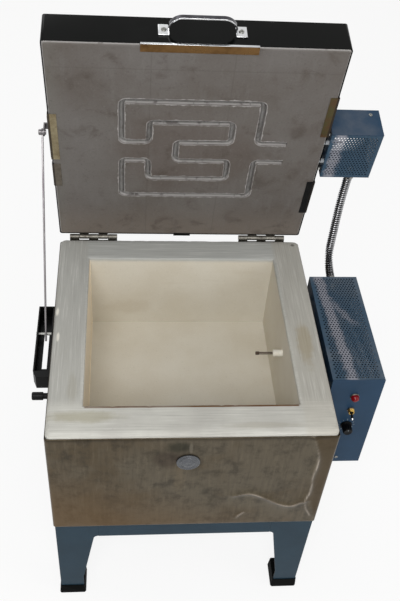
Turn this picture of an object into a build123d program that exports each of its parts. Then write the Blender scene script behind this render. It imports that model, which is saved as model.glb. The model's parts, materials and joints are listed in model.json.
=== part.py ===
from build123d import *
import os
from math import asin, atan2, cos, degrees, hypot, pi, radians, sin, tan

# A top-fired glass kiln: a square firebrick chamber in a sheet-metal case on four legs, with a brick lid
# that carries one heating element in a groove, hinges at the back and is propped open by a stay.
# Millimetres, +Z up. X runs to the viewer's right, Y to the back. Until the export the middle of the
# case is at X = Y = 0 and the floor at Z = 0.

# Case and chamber
case_width = 508.0
case_depth = 508.0
case_sheet = 1.0
case_corner = 5.0
case_lip = 2.0
seam_lap = 26.0
rim_height = 560.0
rim_proud = 10.0
rim_round = 9.0
mouth_round = 1.5
wall_brick = 62.0
floor_brick = 63.5
brick_fit = 0.5
chamber_depth = 188.0
board_thick = 35.0
pan_sheet = 1.5
pan_fit = 0.3

# Stand
stand_inset = 3.0
stand_sheet = 3.0
rail_drop = 45.0
rail_ledge = 25.0
leg_top_width = 74.0
leg_foot_width = 48.0
leg_taper_end = 60.0
knee_round = 8.0
leg_clear = 6.0
boot_height = 28.0
boot_wall = 3.0
boot_flare = 2.0
boot_fit = 0.3
boot_corner = 3.0
rail_bolt_head = 11.0
rail_bolt_thick = 4.5
rail_bolt_inset = 22.0

# Lid
lid_thick = 65.0
lid_gap = 1.5
lid_open = 77.0
lid_sheet = 1.0
lid_corner = 5.0
lid_flange = 14.0
lid_edge_round = 6.0
band_lift = 2.0
hinge_behind = 5.7

# Heating element in the underside of the lid
groove_pitch = 50.0
groove_forward = 4.0
groove_width = 10.0
groove_depth = 11.0
groove_turn = 9.0
lead_reach = 180.0
coil_diameter = 7.6
coil_seat = 0.3
tail_diameter = 4.0
bushing_diameter = 9.4
bushing_bore = 4.6
bushing_out = 14.0
staple_wire = 1.2
staple_rise = 0.3

# Hinges
hinge_left = -184.0
hinge_right = 173.0
hinge_length = 99.0
hinge_gauge = 2.0
hinge_leaf = 40.0
knuckle_radius = 5.2
knuckle_count = 5
knuckle_gap = 0.4
pin_radius = 2.5
pin_fit = 0.05
hinge_screw_head = 3.8
hinge_screw_spread = 32.0

# Sheet clips under the edge of the lid
clip_sheet = 1.0
clip_rise = 5.0
clip_fit = 0.1
clip_reach = 15.0
clip_long = 116.0
clip_middle = 97.0
clip_short = 62.0
clip_small = 35.0
clip_front = 194.0
clip_front_reach = 16.0
clip_front_x = 2.0
clip_rear_x = 1.5
clip_long_from_back = 290.0
clip_between = 13.0
clip_right_from_back = (353.0, 130.0)

# Handle
handle_offset = 7.0
handle_length = 146.0
handle_foot = 17.0
handle_width = 25.0
handle_grip = 14.0
handle_sheet = 3.2
handle_rise = 36.0
handle_bend = 28.0
handle_root_bend = 2.5
handle_screw_head = 4.6

# Perforated boxes: one shape in two sizes
box_sheet = 1.5
hole_fit = 0.4
box_flange = 9.0
cover_sheet = 1.0
cover_fit = 0.2

control_gap = 10.0
control_width = 100.0
control_depth = 280.0
control_height = 260.0
control_below_rim = 14.5
control_back = 14.0

terminal_gap = 7.0
terminal_width = 98.0
terminal_depth = 118.0
terminal_from_back = 193.0

box_screw_head = 3.6
box_screw_inset = 16.0
box_screw_side = 36.0
standoff_radius = 5.0
standoff_inset = 24.0
standoff_top_inset = 38.0
terminal_post_radius = 8.0
terminal_post_inset = 13.0

# Controls on the front plate, measured down from the rim
lamp_down = 62.0
lamp_bezel_radius = 8.0
lamp_bezel_thick = 3.5
lamp_lens_radius = 6.0
lamp_lens_rise = 5.0
lamp_fit = 0.2
switch_down = 101.0
switch_bush_radius = 5.9
switch_bush_out = 9.0
switch_bore = 3.6
switch_nut_flats = 14.0
switch_nut_thick = 2.5
lever_barrel = 2.6
lever_barrel_length = 4.0
lever_length = 23.0
lever_root = 1.5
lever_tip = 2.8
lever_tilt = 16.0
knob_down = 149.0
knob_radius = 9.6
knob_length = 16.0
knob_skirt = 11.5
knob_skirt_thick = 2.5
knob_clear = 0.6
shaft_radius = 3.0
shaft_fit = 0.05
regulator_size = 40.0
regulator_thick = 27.0
relay_width = 46.0
relay_depth = 64.0
relay_height = 52.0
relay_down = 112.0
gland_down = 216.0
gland_radius = 11.0
gland_bore = 5.0
gland_out = 16.0
gland_nut_thick = 6.0

# Flexible conduit between the two boxes
conduit_radius = 8.0
connector_radius = 10.6
connector_length = 20.0
connector_bore_fit = 0.35
conduit_sides = 12
connector_nut_flats = 27.0
connector_nut_thick = 5.0
conduit_low_aside = 4.0
conduit_low_down = 41.0
conduit_top_aside = 16.0
conduit_top_t = 22.0
conduit_low_lead = 44.0
conduit_top_lead = 34.0
conduit_behind = (79.0, 83.0, 91.5)
conduit_above_rim = (-17.0, 46.0, 104.0)
conduit_across = (0.125, 0.3125, 0.625)

# Lid stay on the left side
stay_gap = 12.0
stay_thick = 3.0
stay_width = 10.0
stay_pivot_from_back = 290.0
stay_pivot_up = 12.0
stay_pin_radius = 3.0
stay_pin_fit = 0.08
stay_tip = 12.0
stay_hook_depth = 4.6
stay_eye_rim = 2.0
stay_side_fit = 0.3
stay_bracket_length = 106.0
stay_bracket_front = 44.0
stay_bracket_height = 22.0
stay_bracket_sheet = 2.5
stay_ear_width = 15.0
guide_length = 180.0
guide_width = 30.0
guide_height = 30.0
guide_sheet = 2.5
guide_down = 15.0
guide_middle = -23.5
guide_slot_length = 92.0
guide_slot_middle = -24.0
guide_slot_width = 9.0
guide_taper = 16.0
guide_pin_radius = 3.0
guide_pin_y = 7.0
guide_pin_down = 30.0
guide_pin_clear = 0.4

# Peg in front of the guide
peg_from_front = 110.0
peg_down = 30.0
peg_radius = 7.4
peg_neck_radius = 5.5
peg_out = 29.0
peg_neck = 9.0

# Peephole in the front and thermocouple in the right wall
peephole_x = -7.0
peephole_down = 80.0
peephole_bore = 13.0
peephole_sides = 32
plug_disc = 21.0
plug_disc_thick = 6.0
plug_stem = 12.4
plug_stem_end = 11.0
plug_stem_length = 58.0
thermocouple_y = -14.0
thermocouple_down = 64.0
thermocouple_radius = 7.0
thermocouple_fit = 0.3
thermocouple_reach = 19.0
thermocouple_tip = 34.0
thermocouple_wire = 1.1
thermocouple_spread = 1.9
thermocouple_bead = 3.4

# Places that follow from the sizes above
half_width = case_width / 2
half_depth = case_depth / 2
case_top = rim_height - rim_proud
chamber_floor = rim_height - chamber_depth
board_top = chamber_floor - floor_brick
pan_bottom = board_top - board_thick - pan_sheet
case_bottom = pan_bottom - case_lip
case_height = case_top - case_bottom
brick_half_width = half_width - case_sheet - brick_fit
brick_half_depth = half_depth - case_sheet - brick_fit
chamber_half_width = brick_half_width - wall_brick
chamber_half_depth = brick_half_depth - wall_brick
stand_half_width = half_width - stand_inset
stand_half_depth = half_depth - stand_inset
rail_bottom = pan_bottom - rail_drop
hinge_y = half_depth + hinge_behind
hinge_z = rim_height
lid_under = rim_height + lid_gap
lid_width = case_width
lid_depth = case_depth
lid_half_width = lid_width / 2
lid_back = half_depth
clip_short_from_back = clip_long_from_back - (clip_long + clip_short) / 2 - clip_between
lid_middle = lid_back - lid_depth / 2
lid_front = lid_back - lid_depth
lid_brick_top = lid_under + lid_thick - 2 * lid_sheet - clip_fit
control_x = half_width + control_gap
control_y = control_back
control_top = rim_height - control_below_rim
control_bottom = control_top - control_height
control_front = control_y - control_depth / 2
control_rear = control_y + control_depth / 2
panel_x = control_x + control_width / 2
terminal_x = lid_half_width + terminal_gap
terminal_y = lid_back - terminal_from_back - terminal_depth / 2
terminal_rear = lid_back - terminal_from_back
conduit_low_x = panel_x + conduit_low_aside
conduit_top_x = terminal_x + terminal_width / 2 + conduit_top_aside
stay_x = -half_width - stay_gap
peg_y = -half_depth + peg_from_front
hinge_places = (hinge_left, hinge_right)
guide_top = rim_height - guide_down
guide_bottom = guide_top - guide_height


def opened(part):
    """Swings a part of the closed lid up about the hinge line to where the lid stands open."""
    line = Pos(0, hinge_y, hinge_z)
    return line * Rot(-lid_open, 0, 0) * Pos(0, -hinge_y, -hinge_z) * part


def block(x0, x1, y0, y1, z0, z1):
    """A box between two corners."""
    return Pos((x0 + x1) / 2, (y0 + y1) / 2, (z0 + z1) / 2) * Box(x1 - x0, y1 - y0, z1 - z0)


def rod(start, direction, radius, length, sides=16):
    """A bar that starts at a point and runs along a direction, its flat sides standing for a round one."""
    return extrude(Plane(start, z_dir=direction) * RegularPolygon(radius, sides), length)


def bearing(start, direction, radius, length):
    """A truly round bar or bore, for what turns."""
    return extrude(Plane(start, z_dir=direction) * Circle(radius), length)


def frustum(place, low, high, low_radius, high_radius, sides):
    """A tapered step of a turned piece, closed by flat sides between two polygons."""
    rings = []
    for height, radius in ((low, low_radius), (high, high_radius)):
        corners = RegularPolygon(radius, sides).vertices()
        corners = sorted(corners, key=lambda corner: atan2(corner.Y, corner.X))
        rings.append([place.from_local_coords(Vector(corner.X, corner.Y, height)) for corner in corners])
    lower, upper = rings
    sheets = [make_face(Polyline(*lower, close=True)), make_face(Polyline(*upper, close=True))]
    for number in range(sides):
        after = (number + 1) % sides
        corners = (lower[number], lower[after], upper[after], upper[number])
        sheets.append(make_face(Polyline(*corners, close=True)))
    return Solid(Shell([sheet.face() for sheet in sheets]))


def turned(outline, start, direction, sides=16):
    """A stepped or tapered round piece, from the (distance along the axis, radius) points of its outline."""
    place = Plane(start, z_dir=direction)
    steps = []
    for (low, low_radius), (high, high_radius) in zip(outline, outline[1:]):
        if high > low and low_radius == high_radius:
            steps.append(extrude(place.offset(low) * RegularPolygon(low_radius, sides), high - low))
        elif high > low:
            steps.append(frustum(place, low, high, low_radius, high_radius, sides))
    return sum(steps[1:], Part() + steps[0])


def prism(across_flats, start, direction, length):
    """A hexagonal nut or head."""
    hexagon = RegularPolygon(across_flats / 2, 6, major_radius=False)
    return extrude(Plane(start, z_dir=direction) * hexagon, length)


def eased_square(width, cut):
    """A square with its corners cut off."""
    half = width / 2
    short = half - cut
    corner = [(half, -short), (half, short), (short, half), (-short, half)]
    outline = corner + [(-x, -y) for x, y in corner]
    return make_face(Polyline(*outline, close=True))


def top_edges(part, height, keep):
    """The edges of a part that lie at one height and pass a test on their middle."""
    found = part.edges().filter_by_position(Axis.Z, height - 0.01, height + 0.01)
    return [edge for edge in found if keep(edge.center())]


def case_wrap():
    """The stainless wrap: one bent sheet, closed by a lap at the back, with its two holes."""
    outside = RectangleRounded(case_width, case_depth, case_corner)
    inside = RectangleRounded(
        case_width - 2 * case_sheet, case_depth - 2 * case_sheet, case_corner - case_sheet
    )
    wrap = Pos(0, 0, case_bottom) * extrude(outside - inside, case_height)
    lap_start = half_depth - case_sheet / 2
    lap = block(-seam_lap / 2, seam_lap / 2, lap_start, half_depth + case_sheet, case_bottom, case_top)
    wrap += lap
    peephole = rod(
        (peephole_x, -half_depth - 1, rim_height - peephole_down), (0, 1, 0),
        peephole_bore, 1 + case_sheet + brick_fit, peephole_sides
    )
    thermocouple = rod(
        (half_width + 1, thermocouple_y, rim_height - thermocouple_down), (-1, 0, 0),
        thermocouple_radius + thermocouple_fit, 1 + case_sheet + brick_fit
    )
    return wrap - peephole - thermocouple


def bottom_pan():
    """The tray under the bricks: a floor with a low turned-up edge inside the wrap."""
    width = case_width - 2 * case_sheet - 2 * pan_fit
    depth = case_depth - 2 * case_sheet - 2 * pan_fit
    corner = case_corner - case_sheet
    return Pos(0, 0, pan_bottom) * extrude(RectangleRounded(width, depth, corner), pan_sheet)


def slab(bottom, top):
    """A full-size square slab inside the case, its corners eased to clear the bends of the wrap."""
    outline = RectangleRounded(2 * brick_half_width, 2 * brick_half_depth, rim_round)
    return Pos(0, 0, bottom) * extrude(outline, top - bottom)


def cross_wall(side):
    """The front (-1) or back (+1) wall, across the full width, with its outer top edges rounded."""
    outer = side * brick_half_depth
    inner = side * chamber_half_depth
    y0, y1 = sorted((outer, inner))
    wall = block(-brick_half_width, brick_half_width, y0, y1, chamber_floor, rim_height)
    upright = wall.edges().filter_by(Axis.Z).filter_by_position(Axis.Y, outer - 0.1, outer + 0.1)
    rims = top_edges(wall, rim_height, lambda c: abs(c.Y - inner) > 1)
    wall = fillet(list(upright) + rims, rim_round)
    mouth = top_edges(wall, rim_height, lambda c: abs(c.Y - inner) < 0.1)
    wall = fillet(mouth, mouth_round)
    if side < 0:
        wall -= rod(
            (peephole_x, outer - 1, rim_height - peephole_down), (0, 1, 0),
            peephole_bore, wall_brick + 2, peephole_sides
        )
    return wall


def side_wall(side):
    """The left (-1) or right (+1) wall, between the front and back walls."""
    outer = side * brick_half_width
    inner = side * chamber_half_width
    x0, x1 = sorted((outer, inner))
    wall = block(x0, x1, -chamber_half_depth, chamber_half_depth, chamber_floor, rim_height)
    wall = fillet(top_edges(wall, rim_height, lambda c: abs(c.X - outer) < 0.1), rim_round)
    wall = fillet(top_edges(wall, rim_height, lambda c: abs(c.X - inner) < 0.1), mouth_round)
    if side > 0:
        wall -= rod(
            (outer + 1, thermocouple_y, rim_height - thermocouple_down), (-1, 0, 0),
            thermocouple_radius + thermocouple_fit, wall_brick + 2
        )
    return wall


def leg_flange():
    """One side of a corner leg, drawn from its outer edge: a tapered blade with a rounded knee."""
    top = pan_bottom
    knee = rail_bottom
    drop = knee - leg_taper_end
    lean = (leg_top_width - leg_foot_width) / drop
    lower = knee - knee_round
    width_there = leg_top_width - lean * knee_round
    outline = Polyline(
        (width_there, lower), (leg_foot_width, leg_taper_end), (leg_foot_width, leg_clear), (0, leg_clear),
        (0, top), (leg_top_width + knee_round, top), (leg_top_width + knee_round, knee)
    )
    bend = ThreePointArc(
        (leg_top_width + knee_round, knee),
        (leg_top_width + 0.25 * knee_round, knee - 0.28 * knee_round),
        (width_there, lower)
    )
    return make_face(outline + bend)


def stand_leg(side_x, side_y):
    """A corner leg of bent plate: the same blade on two sides of the corner."""
    blade = leg_flange()
    front = extrude(Plane.XZ * blade, -stand_sheet)
    left = extrude(Plane.YZ * blade, stand_sheet)
    leg = front + left
    if side_x > 0:
        leg = mirror(leg, Plane.YZ)
    if side_y > 0:
        leg = mirror(leg, Plane.XZ)
    return Pos(side_x * stand_half_width, side_y * stand_half_depth, 0) * leg


def stand_rail(side, across):
    """An angle rail between two legs: a face that shows under the case and a ledge that carries the pan."""
    half_run = (stand_half_width if across else stand_half_depth) - leg_top_width - knee_round
    face = block(-half_run, half_run, 0, stand_sheet, rail_bottom, pan_bottom)
    ledge = block(-half_run, half_run, 0, rail_ledge, pan_bottom - stand_sheet, pan_bottom)
    rail = face + ledge
    place = Pos(0, -(stand_half_depth if across else stand_half_width), 0) * rail
    turns = {(-1, True): 0, (1, True): 180, (-1, False): -90, (1, False): 90}
    return Rot(0, 0, turns[(side, across)]) * place


def rubber_boots():
    """Four flared rubber boots on the ends of the legs."""
    boots = []
    for side_x in (-1, 1):
        for side_y in (-1, 1):
            width = leg_foot_width + boot_wall
            middle_x = side_x * (stand_half_width - leg_foot_width / 2)
            middle_y = side_y * (stand_half_depth - leg_foot_width / 2)
            place = Pos(middle_x, middle_y, 0)
            sole = place * eased_square(width + 2 * boot_flare, boot_corner)
            boot = extrude(sole, boot_height, taper=degrees(atan2(boot_flare, boot_height)))
            pocket = leg_foot_width + 2 * boot_fit
            slot = stand_sheet + 2 * boot_fit
            corner_x = side_x * (stand_half_width + boot_fit)
            corner_y = side_y * (stand_half_depth + boot_fit)
            x0, x1 = sorted((corner_x, corner_x - side_x * pocket))
            y0, y1 = sorted((corner_y, corner_y - side_y * slot))
            boot -= block(x0, x1, y0, y1, leg_clear, boot_height + 1)
            x0, x1 = sorted((corner_x, corner_x - side_x * slot))
            y0, y1 = sorted((corner_y, corner_y - side_y * pocket))
            boot -= block(x0, x1, y0, y1, leg_clear, boot_height + 1)
            boots.append(boot)
    return boots


def lid_brick():
    """The brick slab of the lid, with the element's groove and the two holes for its tails."""
    inset = lid_sheet + brick_fit / 2
    brick = block(
        -lid_half_width + inset, lid_half_width - inset, lid_front + inset, lid_back - inset,
        lid_under, lid_brick_top
    )
    corners = list(brick.edges().filter_by(Axis.Z))
    brick = fillet(corners + top_edges(brick, lid_under, lambda c: True), lid_edge_round)
    path = element_path(lid_under + groove_depth / 2)
    across = Plane(path @ 0, z_dir=path % 0, x_dir=(0, 0, 1))
    groove = sweep(across * Rectangle(groove_depth, groove_width), path=path)
    brick -= groove
    for y in tail_places():
        brick -= rod(
            (lead_reach - groove_width, y, coil_height()), (1, 0, 0), bushing_diameter / 2 + 0.1,
            lid_half_width - lead_reach + groove_width
        )
    return brick


def tail_places():
    """Where the two ends of the element leave the lid, along Y."""
    middle = lid_middle - groove_forward
    return (middle - groove_pitch / 2, middle + groove_pitch / 2)


def element_path(height):
    """The serpentine: one line from the front lead round the outer and inner loops to the rear lead."""
    return FilletPolyline(*element_points(height), radius=groove_turn)


def element_points(height):
    """The corners of the serpentine, mirrored about its middle."""
    near = groove_pitch / 2
    far = 3 * near
    edge = 5 * near
    steps = [
        (lead_reach, near), (edge, near), (edge, edge), (-edge, edge), (-edge, near), (-far, near),
        (-far, far), (far, far), (far, near), (-near, near)
    ]
    route = steps + [(x, -y) for x, y in reversed(steps)]
    middle = lid_middle - groove_forward
    return [(x, middle - y, height) for x, y in route]


def coil_height():
    """The middle of the coil, which lies on the bottom of its groove."""
    return lid_under + groove_depth - coil_seat - coil_diameter / 2


def heating_element():
    """The coil, plain here as a rod as thick as the coil, and its two straight tails."""
    corners = [Vector(*point) for point in element_points(coil_height())]
    easing = 0.6 * groove_turn
    points = [corners[0]]
    for before, here, after in zip(corners, corners[1:], corners[2:]):
        points.append(here + (before - here).normalized() * easing)
        points.append(here + (after - here).normalized() * easing)
    path = Polyline(*points, corners[-1])
    section = Plane(path @ 0, z_dir=path % 0) * RegularPolygon(coil_diameter / 2, 8)
    coil = sweep(section, path=path, transition=Transition.RIGHT)
    reach = terminal_x + box_sheet + bushing_out + 12 - lead_reach
    for y in tail_places():
        coil += rod((lead_reach - 1, y, coil_height()), (1, 0, 0), tail_diameter / 2, reach + 1, 8)
    return coil


def element_staples():
    """Wire staples that hold the coil down at the ends of its long runs."""
    near = groove_pitch / 2
    middle = lid_middle - groove_forward
    low = coil_height() - coil_diameter / 2 - staple_rise - staple_wire
    spots = []
    for turn in (-1, 1):
        for x in (-4 * near, 0, 4 * near):
            spots.append((x, middle + turn * 5 * near))
        for x in (-2 * near, 2 * near):
            spots.append((x, middle + turn * 3 * near))
        spots.append((0.6 * near, middle + turn * near))
    width = groove_width - 0.6
    staples = []
    for x, y in spots:
        bar = block(
            x - staple_wire / 2, x + staple_wire / 2, y - width / 2, y + width / 2, low, low + staple_wire
        )
        for side in (-1, 1):
            y0, y1 = sorted((y + side * width / 2, y + side * (width / 2 - staple_wire / 1.5)))
            bar += block(x - staple_wire / 2, x + staple_wire / 2, y0, y1, low, low + 4 * staple_wire)
        staples.append(bar)
    return staples


def lid_band():
    """The bent band round the lid, with a flange turned in over the top sheet."""
    low = lid_under + band_lift
    high = lid_under + lid_thick
    outside = RectangleRounded(lid_width, lid_depth, lid_corner)
    inside = RectangleRounded(lid_width - 2 * lid_sheet, lid_depth - 2 * lid_sheet, lid_corner - lid_sheet)
    window = RectangleRounded(lid_width - 2 * lid_flange, lid_depth - 2 * lid_flange, lid_corner)
    skirt = Pos(0, lid_middle, low) * extrude(outside - inside, high - low)
    flange = Pos(0, lid_middle, high - lid_sheet) * extrude(outside - window, lid_sheet)
    band = skirt + flange
    for y in tail_places():
        band -= rod(
            (lid_half_width - 2, y, coil_height()), (1, 0, 0), bushing_diameter / 2 + 0.1, 4
        )
    return band


def lid_top_sheet():
    """The sheet on top of the lid bricks, held under the band's flange."""
    width = lid_width - 2 * lid_sheet - 2 * clip_fit
    depth = lid_depth - 2 * lid_sheet - 2 * clip_fit
    sheet = extrude(RectangleRounded(width, depth, lid_corner - lid_sheet), lid_sheet)
    return Pos(0, lid_middle, lid_brick_top) * sheet


def lid_clip(length, reach, along, side):
    """An angle clip on the lid's edge: one leg under the brick, the other up the outside of the band."""
    z0 = lid_under - clip_sheet
    z1 = lid_under + band_lift + clip_rise
    if side in ("left", "right"):
        sign = -1 if side == "left" else 1
        outer = sign * (lid_half_width + clip_sheet)
        inner = sign * (lid_half_width - reach)
        x0, x1 = sorted((outer, inner))
        wall0, wall1 = sorted((outer, outer - sign * clip_sheet))
        middle = lid_back - along
        under = block(x0, x1, middle - length / 2, middle + length / 2, z0, lid_under)
        upright = block(wall0, wall1, middle - length / 2, middle + length / 2, z0, z1)
    else:
        sign = -1 if side == "front" else 1
        edge = lid_front if side == "front" else lid_back
        y0, y1 = sorted((edge + sign * clip_sheet, edge - sign * reach))
        wall0, wall1 = sorted((edge + sign * clip_sheet, edge))
        under = block(along - length / 2, along + length / 2, y0, y1, z0, lid_under)
        upright = block(along - length / 2, along + length / 2, wall0, wall1, z0, z1)
    return under + upright


def brick_clips():
    """The clips of the other edges: two on the left, two on the right and a small one at the back."""
    clips = [
        lid_clip(clip_long, clip_reach, clip_long_from_back, "left"),
        lid_clip(clip_short, clip_reach, clip_short_from_back, "left"),
        lid_clip(clip_small, clip_reach / 2, clip_rear_x, "rear")
    ]
    return clips + [lid_clip(clip_middle, clip_reach, along, "right") for along in clip_right_from_back]


def handle():
    """The chromed handle on the front band: two wide feet and a narrower rounded loop for a hand."""
    half = handle_length / 2
    foot = half - handle_foot
    line = FilletPolyline(
        (-half, 0), (-foot, 0), (-foot, handle_rise), (foot, handle_rise), (foot, 0), (half, 0),
        radius=[handle_root_bend, handle_bend, handle_bend, handle_root_bend]
    )
    centre = Pos(0, handle_sheet / 2) * line
    strap = mirror(trace(centre, line_width=handle_sheet), Plane.XZ)
    place = Plane((handle_offset, lid_front, lid_under + lid_thick / 2), x_dir=(1, 0, 0), z_dir=(0, 0, 1))
    bar = extrude(Plane.XY * strap, handle_width / 2, both=True)
    for side in (-1, 1):
        z0, z1 = sorted((side * handle_grip / 2, side * handle_width))
        reach = foot + handle_root_bend
        bar -= block(-reach, reach, -2 * handle_rise, -handle_root_bend, z0, z1)
    return place * bar


def handle_screws():
    """One round-headed screw in each foot of the handle."""
    screws = []
    for side in (-1, 1):
        x = handle_offset + side * (handle_length / 2 - handle_foot * 0.55)
        start = (x, lid_front - handle_sheet, lid_under + lid_thick / 2)
        screws.append(prism(2 * handle_screw_head, start, (0, -1, 0), handle_screw_head / 2))
    return screws


def hinge_leaf_plate(middle, lid_side):
    """One leaf of a butt hinge: a plate on the back with every other knuckle of the row."""
    pitch = hinge_length / knuckle_count
    sign = 1 if lid_side else -1
    clear = knuckle_radius + 0.6
    z0, z1 = sorted((hinge_z + sign * clear, hinge_z + sign * hinge_leaf))
    leaf = block(
        middle - hinge_length / 2, middle + hinge_length / 2, half_depth, half_depth + hinge_gauge, z0, z1
    )
    for number in range(knuckle_count):
        if (number % 2 == 1) != lid_side:
            continue
        start = middle - hinge_length / 2 + number * pitch + knuckle_gap / 2
        knuckle = rod((start, hinge_y, hinge_z), (1, 0, 0), knuckle_radius, pitch - knuckle_gap)
        tab0, tab1 = sorted((hinge_z, hinge_z + sign * (clear + 0.5)))
        tab = block(
            start, start + pitch - knuckle_gap, half_depth, half_depth + hinge_gauge + 1.2, tab0, tab1
        )
        leaf += knuckle + tab
    leaf -= bearing(
        (middle - hinge_length / 2 - 1, hinge_y, hinge_z), (1, 0, 0), pin_radius + pin_fit, hinge_length + 2
    )
    return leaf


def hinge_screw_places(middle, lid_side):
    """Three screws in a leaf, the middle one further out."""
    sign = 1 if lid_side else -1
    places = []
    for step in (-1, 0, 1):
        out = hinge_leaf * (0.78 if step == 0 else 0.55)
        places.append((middle + step * hinge_screw_spread, hinge_z + sign * out))
    return places


def hinge_screws(lid_side):
    """The heads of the screws of both hinges on one side."""
    screws = []
    for middle in hinge_places:
        for x, z in hinge_screw_places(middle, lid_side):
            start = (x, half_depth + hinge_gauge, z)
            screws.append(prism(2 * hinge_screw_head, start, (0, 1, 0), hinge_screw_head / 2))
    return screws


def hinge_pin(middle):
    """The pin of one hinge, flush with its end knuckles."""
    return bearing((middle - hinge_length / 2, hinge_y, hinge_z), (1, 0, 0), pin_radius, hinge_length)


def box_base(width, depth, height):
    """The solid half of a perforated box: a back plate by the kiln and two end plates with flanges.

    The box stands out along +X from X = 0, with its middle at Y = 0 and its bottom at Z = 0.
    """
    inset = cover_sheet + cover_fit
    base = block(0, box_sheet, -depth / 2, depth / 2, inset, height - inset)
    for side in (-1, 1):
        y0, y1 = sorted((side * depth / 2, side * (depth / 2 - box_sheet)))
        base += block(0, width, y0, y1, 0, height)
        y0, y1 = sorted((side * (depth / 2 - box_sheet), side * (depth / 2 - box_sheet - box_flange)))
        base += block(
            width - inset - box_sheet, width - inset, y0, y1, inset + box_flange, height - inset - box_flange
        )
    return base


def box_cover(width, depth, height):
    """The perforated half: one sheet bent round the top, the outer side and the bottom of a box."""
    length = depth - 2 * box_sheet - 2 * cover_fit
    shell = block(0, width, -length / 2, length / 2, 0, height)
    inside = height - cover_sheet
    return shell - block(-1, width - cover_sheet, -length / 2 - 1, length / 2 + 1, cover_sheet, inside)


def control_place():
    """Where the control box stands: beside the right wall."""
    return Pos(control_x, control_y, control_bottom)


def terminal_place():
    """Where the terminal box stands on the closed lid: beside the lid's right edge."""
    return Pos(terminal_x, terminal_y, lid_under)


def screw_head(start, direction):
    """The head of a small sheet screw."""
    return prism(2 * box_screw_head, start, direction, box_screw_head / 2)


def control_screws():
    """The screws low on the front plate and high and low on the rear plate."""
    z_low = control_bottom + box_screw_inset
    z_high = control_top - box_screw_inset
    return [
        screw_head((panel_x, control_front, z_low), (0, -1, 0)),
        screw_head((panel_x, control_rear, z_low), (0, 1, 0)),
        screw_head((panel_x - box_screw_side, control_rear, z_high), (0, 1, 0))
    ]


def terminal_screws():
    """The screws of the small box, one in each end plate."""
    x = terminal_x + terminal_width - box_screw_side / 2
    z = lid_under + lid_thick - box_screw_inset * 0.8
    return [
        screw_head((x, terminal_rear - terminal_depth, z), (0, -1, 0)),
        screw_head((x, terminal_rear, z), (0, 1, 0))
    ]


def control_standoffs():
    """Four spacers that hold the control box off the hot case."""
    posts = []
    for y in (control_front + standoff_inset, control_rear - standoff_inset):
        for z in (control_bottom + standoff_inset, control_top - standoff_top_inset):
            posts.append(prism(2 * standoff_radius, (half_width, y, z), (1, 0, 0), control_gap))
    return posts


def terminal_standoffs():
    """Four spacers that hold the terminal box off the lid."""
    posts = []
    out = terminal_depth / 2 - terminal_post_inset
    for y in (terminal_y - out, terminal_y + out):
        for z in (lid_under + terminal_post_inset, lid_under + lid_thick - terminal_post_inset):
            posts.append(prism(terminal_post_radius, (lid_half_width, y, z), (1, 0, 0), terminal_gap))
    return posts


def control_base():
    """The base of the control box with the holes for its controls, conduit, gland and thermocouple."""
    base = control_place() * box_base(control_width, control_depth, control_height)
    out = box_sheet + 2
    holes = [
        (lamp_down, lamp_lens_radius + hole_fit), (switch_down, switch_bush_radius + hole_fit),
        (knob_down, shaft_radius + hole_fit)
    ]
    for down, radius in holes:
        base -= rod((panel_x, control_front - 1, rim_height - down), (0, 1, 0), radius, out)
    conduit_hole = (conduit_low_x, control_rear + 1, rim_height - conduit_low_down)
    base -= rod(conduit_hole, (0, -1, 0), conduit_radius + hole_fit, out)
    base -= rod(
        (control_x - 1, thermocouple_y, rim_height - thermocouple_down), (1, 0, 0),
        thermocouple_radius + thermocouple_fit, out
    )
    return base


def terminal_base():
    """The base of the terminal box with the holes for the bushings and the conduit."""
    base = terminal_place() * box_base(terminal_width, terminal_depth, lid_thick)
    for y in tail_places():
        base -= rod((terminal_x - 1, y, coil_height()), (1, 0, 0), bushing_diameter / 2 + 0.1, box_sheet + 2)
    base -= rod(
        (conduit_top_x, terminal_rear + 1, lid_under + conduit_top_t), (0, -1, 0),
        conduit_radius + 0.3, box_sheet + 2
    )
    return base


def terminal_bushings():
    """Two ceramic tubes that carry the element's tails through the lid into the terminal box."""
    tubes = []
    start = lead_reach + coil_diameter / 2 + 1
    length = terminal_x + box_sheet + bushing_out - start
    for y in tail_places():
        tube = rod((start, y, coil_height()), (1, 0, 0), bushing_diameter / 2, length)
        tube -= rod((start - 1, y, coil_height()), (1, 0, 0), bushing_bore / 2, length + 2)
        tubes.append(tube)
    return tubes


def conduit_connector(start, direction):
    """A straight conduit connector: a hexagon against the box and a sleeve round the conduit's end."""
    nut = prism(connector_nut_flats, start, direction, connector_nut_thick)
    sleeve = rod(start, direction, connector_radius, connector_length)
    bore = rod(start, direction, conduit_radius + connector_bore_fit, connector_length + 1)
    return nut + sleeve - bore


def conduit_route():
    """The conduit's points from the control box up to the open terminal box."""
    low_z = rim_height - conduit_low_down
    top_t = lid_under + conduit_top_t
    below = lid_turned(terminal_rear + conduit_top_lead, top_t)
    ahead = lid_turned(terminal_rear + connector_length * 0.4, top_t)
    points = [
        (conduit_low_x, control_rear + connector_length * 0.4, low_z),
        (conduit_low_x, control_rear + conduit_low_lead, low_z)
    ]
    for share, behind, above in zip(conduit_across, conduit_behind, conduit_above_rim):
        x = conduit_low_x + share * (conduit_top_x - conduit_low_x)
        points.append((x, control_rear + behind, rim_height + above))
    return points + [(conduit_top_x, below[0], below[1]), (conduit_top_x, ahead[0], ahead[1])]


def lid_turned(y, z):
    """Where a point of the closed lid lies once the lid stands open."""
    angle = radians(-lid_open)
    dy = y - hinge_y
    dz = z - hinge_z
    return (hinge_y + dy * cos(angle) - dz * sin(angle), hinge_z + dy * sin(angle) + dz * cos(angle))


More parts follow.
